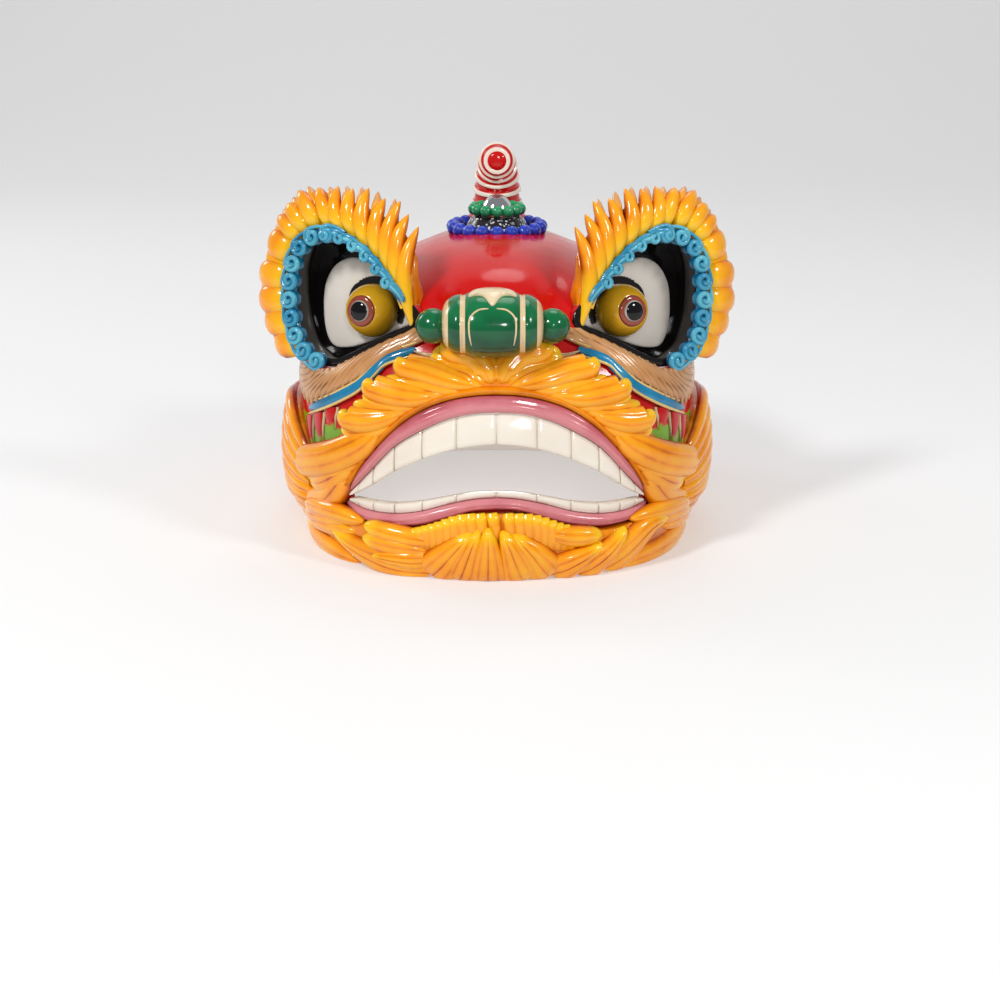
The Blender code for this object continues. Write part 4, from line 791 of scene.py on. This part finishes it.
def build_scrolls(word, side):
    """Coils round the outer side of the eye, and feathered strands over its top and inner side."""
    o = eye_axes(side)[2]
    edge = outline(EYE_RIM * 0.55)
    scale = np.array((EYE_HALF_WIDTH, EYE_HALF_HEIGHT))
    line = (edge * scale)[:int(150 * 13 / 18) + 4]
    gaps = np.concatenate([[0], np.cumsum(np.linalg.norm(np.diff(line, axis=0), axis=1))])
    form = Form()

    def lifted(flat, out_by):
        shares = flat / scale
        return eye_point(side, shares[..., 0], shares[..., 1], out_by)

    def at(places):
        spot = np.stack([np.interp(places, gaps, line[:, k]) for k in (0, 1)], -1)
        way = np.stack([np.interp(places + MM, gaps, line[:, k]) - np.interp(places - MM, gaps, line[:, k])
                        for k in (0, 1)], -1)
        way = unit(way)
        return spot, way, np.stack([-way[..., 1], way[..., 0]], -1)
    way = unit(np.gradient(line, axis=0))
    backing = np.array([lifted(line + np.column_stack([-way[:, 1], way[:, 0]]) * s * MM, h * MM)
                        for s, h in ((-4.5, 0.2), (-3.5, 2.2), (0, 2.8), (4.5, 2.4), (5.5, 0.2), (0, -0.3))])
    form.add(backing.transpose(1, 0, 2), (0.35, 0, 0))
    last = gaps[-1] - 4 * MM
    start = 0.40 * last
    for k in range(CURLS):
        place = start + (last - start) * k / (CURLS - 1)
        spot, way, away = at(place)
        turns = np.linspace(0, 2.9 * math.pi, 44)
        radii = CURL_RADIUS * (1 - 0.78 * turns / turns[-1])
        coil = spot + radii[:, None] * (np.cos(turns)[:, None] * away + np.sin(turns)[:, None] * way)
        lead = (spot + away * CURL_RADIUS * np.array([[0.35], [0.85]])
                - way * CURL_RADIUS * np.array([[2.3], [1.1]]))
        flat = np.concatenate([lead, coil])
        rise = (5.0 + 3.4 * np.linspace(0, 1, len(flat)) ** 1.5) * MM
        centres = lifted(flat, rise)
        angles = around(24)
        circle = np.column_stack([np.cos(angles), np.sin(angles)])
        disc = np.array([lifted(spot + circle * r * CURL_RADIUS, h * MM)
                         for r, h in ((1.0, -2.0), (0.98, 3.0), (0.85, 5.0), (0.6, 5.8), (0.2, 6.0))])
        form.add(disc, (0.3, 0, 0))
        tone = (0.62 + 0.14 * (k % 2), 0, 0)
        tube(form, centres, np.broadcast_to(o, centres.shape), 2.35 * MM, 1.1, tone, rows=90, sides=12,
             taper=[(0, 0.5), (0.12, 1.0), (0.8, 0.85), (1.0, 0.9)])
    for k in range(FEATHERS + 1):
        place = start * (0.22 + 0.80 * k / FEATHERS)
        # the middle strand of each feather is painted pale cyan as a painted highlight; the two beside it are
        # mid blue
        for strand, (shift, length, tone) in enumerate(((3.0, 26, 0.55), (0.2, 23, 0.95), (-2.6, 19, 0.5))):
            places = place - np.linspace(length, 0, 7) * MM
            spot, way, away = at(np.maximum(places, 0.2 * MM))
            hook = np.array((0.2, 0.5, 0.7, 0.8, 0.7, 0.3, -0.6))[:, None] * 3.6 * MM
            flat = spot + away * (shift * MM * np.linspace(0.25, 1, 7)[:, None]) + away * hook * 0.6
            centres = lifted(flat, (4.6 + 2.2 * np.linspace(0, 1, 7) - 0.3 * strand) * MM)
            tube(form, centres, np.broadcast_to(o, centres.shape), 2.1 * MM, 1.05, (tone, 0, 0), rows=44,
                 taper=[(0, 0.2), (0.4, 0.75), (0.85, 1.0), (1.0, 0.5)])
        spot, way, away = at(place)
        turns = np.linspace(0.2 * math.pi, 2.3 * math.pi, 24)
        radii = 4.5 * MM * (1 - 0.7 * turns / turns[-1])
        coil = spot - away * 0.8 * MM + radii[:, None] * (np.cos(turns)[:, None] * away
                                                          + np.sin(turns)[:, None] * way)
        centres = lifted(coil, np.linspace(7.2, 8.4, 24) * MM)
        tube(form, centres, np.broadcast_to(o, centres.shape), 1.8 * MM, 1.1, (0.72, 0, 0), rows=50)
    piece("scrolls_" + word, form.mesh("scrolls"), [SCROLL], "scroll_blue_glaze", "scroll_rim_" + word)


def build_ruff(word, side):
    o = eye_axes(side)[2]
    form = Form()
    smooth = curve(PETALS, 90)
    root, tip = smooth[:, :2], smooth[:, 2:]

    def level(inward, t, out_by):
        spot = root * inward + (tip - root) * t
        return eye_point(side, spot[:, 0], spot[:, 1], out_by * MM)
    rings = np.stack([level(1.12, 0, -4), level(1.13, 0, -3.5), level(1, 0.4, -5), level(1, 0.66, -9),
                      level(1, 0.62, -12), level(1, 0.4, -16), level(1.12, 0, -24)], 1)
    form.add(rings, (0.35, 0, 0))
    numbered = np.column_stack([np.arange(len(PETALS)), PETALS])

    def petal(k, width, reach, sink, shape, mat, bend):
        row = interp(numbered, np.array([k]))[0]
        base, end = row[:2], row[2:]
        bow = np.array((-(end - base)[1], (end - base)[0])) * bend
        ts = np.array((-0.22 if k > 11 else 0.04 if k < 5 else -0.1, 0.3, 0.65, reach))
        flat = base + (end - base) * ts[:, None] + bow * (ts * (1 - ts) * 4)[:, None]
        outs = (np.array((-3.5, -0.5, -2.5, -9.0)) - sink * np.array((1, 1, 0.8, 0.35))) * MM
        centres = eye_point(side, flat[:, 0], flat[:, 1], outs)
        lock(form, centres, np.broadcast_to(o, centres.shape), width * MM, 6.0 * MM, ridges=1, shape=shape,
             rows=34, cols=15, mat=mat, lead=1 if mat else -1)
    for k in np.arange(5.4, 11.6, 0.8):
        petal(k, 13, 0.99, 5.0, FEATHER_PETAL, 1, 0.03)
    for k in (0.5, 1.5, 2.5, 3.5, 4.5):
        petal(k, 22, 0.93, 4.5, ROUND_PETAL, 0, 0.05)
    for n, k in enumerate((5.0, 5.8, 6.6, 7.4, 8.2, 9.0, 9.8, 10.6, 11.4, 12.2, 13.0)):
        reach, bend = 0.94 if n % 2 else 1.0, 0.07 if k < 8 else -0.07
        petal(k, 16 if k < 7 else 14, reach, 0.0, FEATHER_PETAL, 0, bend)
    for k in range(5):
        petal(float(k), 24, 1.0, 0.0, ROUND_PETAL, 0, 0.06)
    piece("ruff_" + word, form.mesh("ruff"), [ORANGE, PETAL], "orange_glaze", "eye_ruff_" + word)


def build_fur(word, side):
    form = Form()
    rows = fur_rows(side)
    pad(form, rows, 5.0 * MM, side=side, edge=0.5)
    for k in range(FUR_LOCKS):
        place = (k + 0.4) / FUR_LOCKS
        turn = 20 + 59 * place
        fade = math.sin(math.pi * (k + 1) / (FUR_LOCKS + 1)) ** 0.45
        levels = np.linspace(1.0, -0.05, 7)
        lean = 9.0 * (0.5 - levels) + 1.8 * np.sin(2 * math.pi * levels)
        low, high = interp(rows, turn + lean).T
        points = np.column_stack([turn + lean, low + (high - low) * levels])
        centres, normals = route(points, side, 2.4 * MM, 3.8 * MM * fade)
        lock(form, centres, normals, 12 * MM, 4.6 * MM * fade, ridges=2, depth=0.12,
             shape=FUR_SHAPE, rows=30)
    piece("fur_" + word, form.mesh("fur"), [TAN], "tan_glaze", "eye_fur_" + word)


def build_band(word, side):
    form = Form()
    way = curve(BAND_LINE, 60)
    centres, normals = route(BAND_LINE, side, 2.4 * MM, 2.4 * MM, 60)
    tube(form, centres, normals, 4.6 * MM, 0.55, (0.45, 0, 0), rows=90, sides=16)
    for shift in (-0.0185, 0.0185):
        rail = way + np.array((0, shift))
        rail_centres, rail_normals = route(rail, side, 3.4 * MM, 3.4 * MM, 60)
        tube(form, rail_centres, rail_normals, 1.2 * MM, 1.0, (1, 0, 1), rows=90, sides=8)
    piece("band_" + word, form.mesh("band"), [SCROLL], "scroll_blue_glaze", "cheek_band_" + word)
    flames = Form()
    tongues = [(61.5, 0.440, 60, 0.340), (54.5, 0.468, 52.5, 0.365), (47.5, 0.497, 45, 0.430)]
    for turn, high, end_turn, low in tongues:
        points = [(turn, high), (turn - 0.6, high * 0.5 + low * 0.5), (end_turn, low)]
        for width, lift, mat in ((21, 0.1, 1), (16.5, 1.0, 0)):
            centres, normals = route(points, side, lift * MM, lift * MM)
            lock(flames, centres, normals, width * MM, 1.8 * MM, ridges=1, depth=0.0, shape=FLAME,
                 rows=30, cols=13, mat=mat)
    for turn, high, end_turn, low in ((24, 0.70, 20, 0.715), (28, 0.665, 24, 0.680)):
        points = [(turn, high), ((turn + end_turn) / 2, low), (end_turn, low)]
        centres, normals = route(points, side, 0.6 * MM, 1.5 * MM)
        lock(flames, centres, normals, 6 * MM, 2.4 * MM, ridges=1, depth=0.0, shape=FLAME,
             rows=26, cols=13, mat=1)
    piece("cheek_tongues_" + word, flames.mesh("tongues"), [RED, CREAMY], "red_glaze")


# Nose

def build_nose():
    front = skull(0.0, NOSE_LEVEL)[1] + 8 * MM
    centre = np.array((-3.0 * MM, front - 27.9 * MM, NOSE_LEVEL * SKULL_HEIGHT))

    def body(x, bearing, lift):
        """Point of the nose: x in mm, bearing round it in degrees from straight ahead, upwards."""
        share = interp(NOSE_SHARE, np.abs(x))[..., 0]
        angle = np.radians(bearing)
        return centre + np.stack([x + 0 * angle, -(NOSE_DEPTH * share + lift) * np.cos(angle),
                                  (NOSE_RISE * share + lift) * np.sin(angle)], -1) * MM
    form = Form()
    x = np.linspace(-NOSE_HALF, NOSE_HALF, 157)[:, None]
    bearing = np.linspace(0, 360, 72, endpoint=False)[None]
    cream = step(20.6, 21.1, np.abs(x)) * step(25.0, 24.5, np.abs(x)) + step(33.6, 34.1, np.abs(x))
    # painted light and shade: the nose's upper half is painted lighter and its lower half darker
    tone = 0.5 + 0.3 * np.sin(np.radians(bearing)) + 0 * x
    form.add(body(x, bearing, 0.0), np.stack([tone, cream + 0 * bearing, tone * 0], -1))
    for side in (-1, 1):
        arc = body(side * np.array((3.0, 11, 17, 17.6, 16)), np.array((41.0, 38, 24, 0, -26)), 0.2)
        tube(form, arc, unit(arc - centre), 0.7 * MM, 1.0, (1, 1, 0), rows=50, sides=8)
    piece("nose_lobes", form.mesh("nose"), [GREEN], "green_glaze", "nose")

    def shaded(local):
        return toned(0.5 + 0.3 * local[..., 2])
    for word, side in SIDES:
        form = Form()
        middle = centre + np.array((side * 46, 1.0, -2.0)) * MM
        ball(form, middle, np.array((13.6, 14.5, 13.6)) * MM, shaded, 40, 28)
        piece("nostril_lobe_" + word, form.mesh("nostril"), [GREEN], "green_glaze", "nostril_" + word)
    edge = curve([(-1.0, 0.0), (-0.9, 0.6), (-0.45, 1.0), (0.0, 1.1), (0.45, 1.0), (0.9, 0.6), (1.0, 0.0),
                  (0.45, -0.12), (0.0, -1.0), (-0.45, -0.12)], 90, closed=True)
    form = Form()
    form.add([body(edge[:, 0] * scale * 18, 72 + edge[:, 1] * scale * 26, lift)
              for scale, lift in ((1.0, -2.0), (1.0, 0.9), (0.93, 1.8), (0.75, 2.5), (0.4, 2.9),
                                  (0.08, 3.0))])
    for side in (-1, 1):
        for lift, rise in ((1.2, 0.0), (1.6, -0.018)):
            points = [(8, 0.706 + rise), (14, 0.690 + rise), (21, 0.705 + rise)]
            way, normals = route(points, side, lift * MM, lift * MM)
            lock(form, way, normals, 6 * MM, 3.6 * MM, ridges=2, shape=FLAME, rows=30)
    piece("nose_tip", form.mesh("nose_tip"), [CREAMY], "cream_glaze", "nose_crest")


# Horn and mirror boss

def build_horn():
    # lean, rise, radius in mm
    path = np.array([
        (0.00, 0.00, 31), (0.02, 0.14, 30), (0.03, 0.24, 22.5), (0.08, 0.45, 20), (0.18, 0.62, 18.2),
        (0.38, 0.76, 16.2), (0.70, 0.838, 14.0), (0.96, 0.85, 11.4),
    ])
    points = curve(path, 150)
    centres = np.stack([points[:, 0] * 0, HORN_Y - points[:, 0] * HORN_LEAN,
                        CREST_BASE + points[:, 1] * HORN_RISE], -1)
    along = unit(np.gradient(centres, axis=0))
    front = np.cross((1.0, 0, 0), along)
    far = np.concatenate([[0], np.cumsum(np.linalg.norm(np.diff(centres, axis=0), axis=1))]) / MM
    phase = ((far - 20) % RING_PITCH) / RING_PITCH
    raised = step(0.40, 0.50, phase) * step(0.84, 0.74, phase) * (far > RINGS_FROM)
    radius = (points[:, 2] + 1.5 * raised - 0.9 * (far > RINGS_FROM) * (1 - raised)) * MM
    angles = around(56)
    rings = (centres[:, None] + radius[:, None, None] * (np.cos(angles)[None, :, None] * np.array((1.0, 0, 0))
             + np.sin(angles)[None, :, None] * front[:, None]))
    white = np.maximum(raised, step(17, 14, far))
    paint = np.stack([np.full_like(white, 0.75), white * 0, white], -1)
    form = Form()
    form.add(rings, np.broadcast_to(paint[:, None], (150, 56, 3)))
    place = (centres[-1], np.array((1.0, 0, 0)), front[-1], along[-1])
    turned(form, [(11.4 * MM, -1 * MM), (11.2 * MM, 0.8 * MM), (9 * MM, 1.6 * MM), (8.4 * MM, 1.4 * MM)],
           place, (1, 0, 1))
    turned(form, [(8.2 * MM, 1.0 * MM), (7.6 * MM, 2.0 * MM), (4.5 * MM, 3.0 * MM), (1 * MM, 3.3 * MM)],
           place, (0.7, 0, 0))
    piece("ribbed_horn", form.mesh("horn"), [RED], "red_glaze", "horn")


def build_boss():
    x, y, z = np.eye(3)

    def upright(name, profile, material, slot_name, node, base):
        form = Form()
        turned(form, [(r * MM, h * MM) for r, h in profile], (np.array((0, BOSS_Y, base)), x, y, z))
        piece(name, form.mesh(name), [material], slot_name, node, sharp=60)
    cone = [(33, 0), (33, 3), (32, 4.6), (28, 9.5), (24, 15), (21, 19.5), (19.5, 21), (10, 21)]
    upright("boss", cone, SEQUIN, "black_glaze", "mirror_cone", CREST_BASE)
    arc = np.linspace(0, math.pi / 2, 20)[:-1]
    dome = [(14 * math.cos(t), 17.5 * math.sin(t)) for t in arc]
    upright("mirror_top", dome, SILVER, "mirror_dome", "mirror", CREST_BASE + 21.4 * MM)
    horn_centre = np.array((0, HORN_Y))

    def shaded(local):
        return toned(0.6 + 0.4 * local[..., 2])
    for name, radius, height, bead, count, material, slot_name, node, keep in (
            ("blue_bead_string", 37.5, 242.4, 6.2, 19, BEAD_BLUE, "blue_bead_glaze", "blue_beads", 29),
            ("green_bead_string", 20, 258.0, 5.0, 13, BEAD_GREEN, "green_bead_glaze", "green_beads", 20)):
        form = Form()
        for k in range(count):
            angle = 2 * math.pi * k / count
            spot = np.array((radius * math.sin(angle), BOSS_Y / MM - radius * math.cos(angle), height)) * MM
            if np.linalg.norm(spot[:2] - horn_centre) > keep * MM:
                ball(form, spot, (bead * MM,) * 3, shaded)
        piece(name, form.mesh(name), [material], slot_name, node)


# Mouth

def build_lip(name, node, inner_column, outer_column):
    form = Form()
    angles = np.linspace(0, math.pi, 15)

    def section(share):
        row = interp(MOUTH, np.abs(share))
        inner, outer = row[:, inner_column][:, None], row[:, outer_column][:, None]
        thin = (1 - 0.75 * step(0.86, 1.0, np.abs(share)))[:, None]
        swell = np.sin(angles) ** 0.6 * (1 - 0.13 * np.exp(-((angles - 1.75) / 0.2) ** 2))
        heights = inner + (outer - inner) * (1 - np.cos(angles)) / 2
        heights = np.concatenate([heights, (inner + outer) / 2], 1)
        lifts = np.concatenate([8.0 * MM * thin * swell + 0.5 * MM, np.full_like(inner, -1.5 * MM)], 1)
        return heights, lifts
    # painted shade: each lip is painted darker from its middle towards its outer edge, and dark on its back
    # row
    tone = np.concatenate([1 - step(0.9, 2.6, angles) * 0.6, [0.2]])
    mouth_sweep(form, section, paint=toned(tone)[None])
    piece(name, form.mesh(name), [PINK], "pink_glaze", node)


def build_teeth(name, node, gum_column, bite_column):
    form = Form()
    joints = [-j for j in reversed(TOOTH_JOINTS[1:])] + TOOTH_JOINTS
    gap = 0.5 * MM / SKULL_HEIGHT
    for low, high in zip(joints, joints[1:]):
        place = np.linspace(-0.992, 0.992, 23)
        share = (low + high) / 2 + (high - low) / 2 * place
        row = interp(MOUTH, np.abs(share))
        gum, bite = row[:, gum_column][:, None], row[:, bite_column][:, None]
        gum = gum + np.sign(bite - gum) * gap
        swell = (1 - np.abs(place) ** 12)[:, None] ** 0.5
        rounding = 0.05 * (1 - swell)
        down = np.array([0.0, 0.0, 0.25, 0.5, 0.75, 0.93, 0.99, 1.0, 0.97, 0.6, 0.2])[None]
        outer = np.array([-6.6, 2.6, 3.6, 4.2, 4.4, 4.2, 3.0, -1.0, -5.2, -6.6, -6.6])[None]
        heights = gum + (bite - gum) * (down - rounding * (down > 0.7))
        lifts = np.where(outer > -2, -2.2 + (outer + 2.2) * (0.7 + 0.3 * swell), outer) * MM
        # painted shadow: the rows past the front face, along the bite edge and on the back, are painted
        # darker
        tone = (0.36 + 0.34 * swell) * np.where(np.arange(11) > 6, 0.45, 1.0)[None]
        form.add(on(turn_at(share[:, None] * MOUTH_HALF, heights), heights, lifts), toned(tone))
    piece(name, form.mesh(name), [TOOTH], "tooth_glaze", node)


# Manes and beard

def build_mane():
    form = Form()
    pad(form, both_ways(MANE_PAD), 7.5 * MM, stations=160)

    def lip_rim(share):
        top = interp(MOUTH, np.abs(share))[:, :1]
        heights = top + np.array((0.0, 0.003, 0.012, 0.022, 0.024, 0.0))
        return heights, np.broadcast_to(np.array((-1, 7.4, 9.2, 7.0, -1, -1)) * MM, heights.shape)
    mouth_sweep(form, lip_rim, 0.96, paint=(0.45, 0, 0))
    for side in (-1, 1):
        for k, (points, width, degrees) in enumerate(UPPER_LOCKS):
            main = k % 3 == 2
            centres, normals = route(points, side, (4.6 if main else 3.6) * MM, (8.6 if main else 5.4) * MM)
            centres, normals = curled(centres, normals, 6.5 * MM, degrees or (80 if main else 0), side)
            lock(form, centres, normals, (width + 8 if main else width + 1) * MM, (9.5 if main else 7.5) * MM,
                 ridges=3 if main else 2, depth=0.07, rows=64)
    piece("moustache_locks", form.mesh("moustache"), [ORANGE], "orange_glaze", "upper_mane")


def build_beard():
    form = Form()
    pad(form, both_ways(BEARD_PAD), 11.5 * MM, stations=170, edge=0.75)
    for turn in np.arange(-17.4, 16, 1.7):
        foot, top = 0.10, float(interp(BEARD_PAD, abs(turn))[1]) + 0.004
        points = [(turn, foot), (turn + 0.3, (foot + top) / 2), (turn, top)]
        centres, normals = route([(abs(t), h) for t, h in points], 1 if turn > 0 else -1, 9.0 * MM, 9.5 * MM)
        lock(form, centres, normals, 10.5 * MM, 5.0 * MM, ridges=1, depth=0.0, cols=11, rows=24, shape=PLEAT)
    for points, width, layer in BEARD_LOCKS:
        side = -1 if points[0][0] + points[-1][0] < 0 else 1
        way = [(side * t, h) for t, h in points]
        centres, normals = route(way, side, (8.0 + 1.2 * layer) * MM, (8.0 + 1.4 * layer) * MM)
        lock(form, centres, normals, (width + 2) * MM, 9.0 * MM, ridges=3 + (layer > 1), depth=0.07,
             shape=FAN if layer > 1 else LOCK, rows=52)
    piece("beard_locks", form.mesh("beard_locks"), [ORANGE], "orange_glaze", "beard")


def build_side_mane(word, side):
    form = Form()
    pad(form, SIDE_PAD, 12 * MM, side=side, edge=0.3, stations=60)
    for k in range(SIDE_RIBS):
        level = (k + 0.45) / SIDE_RIBS
        turns = np.linspace(61, 104, 12)
        reach = interp(SIDE_PAD, turns)
        fade = interp(SIDE_FADE, turns)[:, 0]
        swell = 0.35 + 0.65 * math.sin(math.pi * min(level / 0.6, 1.0) / 2 if level < 0.3
                                       else math.pi * (1 - level) / 1.4)
        wave = 0.010 * np.sin(2 * math.pi * (turns - 58) / 30 + 0.4 * k)
        heights = reach[:, 0] + (reach[:, 1] - reach[:, 0]) * level + wave
        centres = on(side * turns, heights, 12.5 * MM * fade * swell + 1.5 * MM)
        normals = skull_normal(np.radians(side * turns), heights)
        lock(form, centres, normals, 17 * MM, 8.0 * MM * (0.5 + 0.5 * swell), ridges=2, shape=RIB, rows=60)
    piece("side_locks_" + word, form.mesh("side_locks"), [ORANGE], "orange_glaze", "side_mane_" + word)


def add_studio():
    bend = np.linspace(0, math.pi / 2, 17)
    profile = [(-6.0, 0.0)] + [(2.0 + math.sin(t), 1 - math.cos(t)) for t in bend] + [(3.0, 6.0)]
    mesh = bpy.data.meshes.new("floor")
    mesh.from_pydata([(x, y, z - 0.0004) for y, z in profile for x in (-7.0, 7.0)], [],
                     [(2 * i, 2 * i + 1, 2 * i + 3, 2 * i + 2) for i in range(len(profile) - 1)])
    mesh.shade_smooth()
    material = bpy.data.materials.new("floor")
    material.use_nodes = True
    shader = material.node_tree.nodes["Principled BSDF"]
    shader.inputs["Base Color"].default_value = (FLOOR_TONE, FLOOR_TONE, FLOOR_TONE, 1.0)
    shader.inputs["Roughness"].default_value = 0.6
    shader.inputs["Emission Color"].default_value = PALE_WHITE
    shader.inputs["Emission Strength"].default_value = FLOOR_LIGHT
    mesh.materials.append(material)
    obj = bpy.data.objects.new("floor", mesh)
    bpy.context.scene.collection.objects.link(obj)
    scene = bpy.context.scene
    scene.view_settings.view_transform = "Standard"
    world = bpy.data.worlds.new("studio")
    world.use_nodes = True
    sky = world.node_tree.nodes["Background"]
    sky.inputs["Color"].default_value = PALE_WHITE
    sky.inputs["Strength"].default_value = WORLD_LIGHT
    scene.world = world
    for place, size, power in SOFTBOXES:
        light = bpy.data.lights.new("softbox", "AREA")
        light.shape = "DISK"
        light.size = size
        light.energy = power
        lamp = bpy.data.objects.new("softbox", light)
        lamp.location = place
        lamp.rotation_euler = (LIGHT_TARGET - Vector(place)).to_track_quat("-Z", "Y").to_euler()
        scene.collection.objects.link(lamp)
    glow = bpy.data.lights.new("inner_glow", "POINT")
    glow.energy = GLOW_POWER
    glow.shadow_soft_size = 0.05
    lamp = bpy.data.objects.new("inner_glow", glow)
    lamp.location = GLOW_PLACE
    scene.collection.objects.link(lamp)
    camera = bpy.data.cameras.new("camera")
    camera.lens = CAMERA_LENS
    camera.sensor_width = CAMERA_SENSOR
    eye = bpy.data.objects.new("camera", camera)
    eye.location = CAMERA_PLACE
    eye.rotation_euler = (CAMERA_TILT, 0, 0)
    scene.collection.objects.link(eye)
    scene.camera = eye


build_shell()
for word, side in SIDES:
    build_eye(word, side)
    build_scrolls(word, side)
    build_ruff(word, side)
    build_fur(word, side)
    build_band(word, side)
    build_side_mane(word, side)
build_nose()
build_horn()
build_boss()
build_lip("lip_above", "upper_lip", 1, 0)
build_lip("lip_below", "lower_lip", 4, 5)
build_teeth("teeth_above", "upper_teeth", 1, 2)
build_teeth("teeth_below", "lower_teeth", 4, 3)
build_mane()
build_beard()
add_studio()
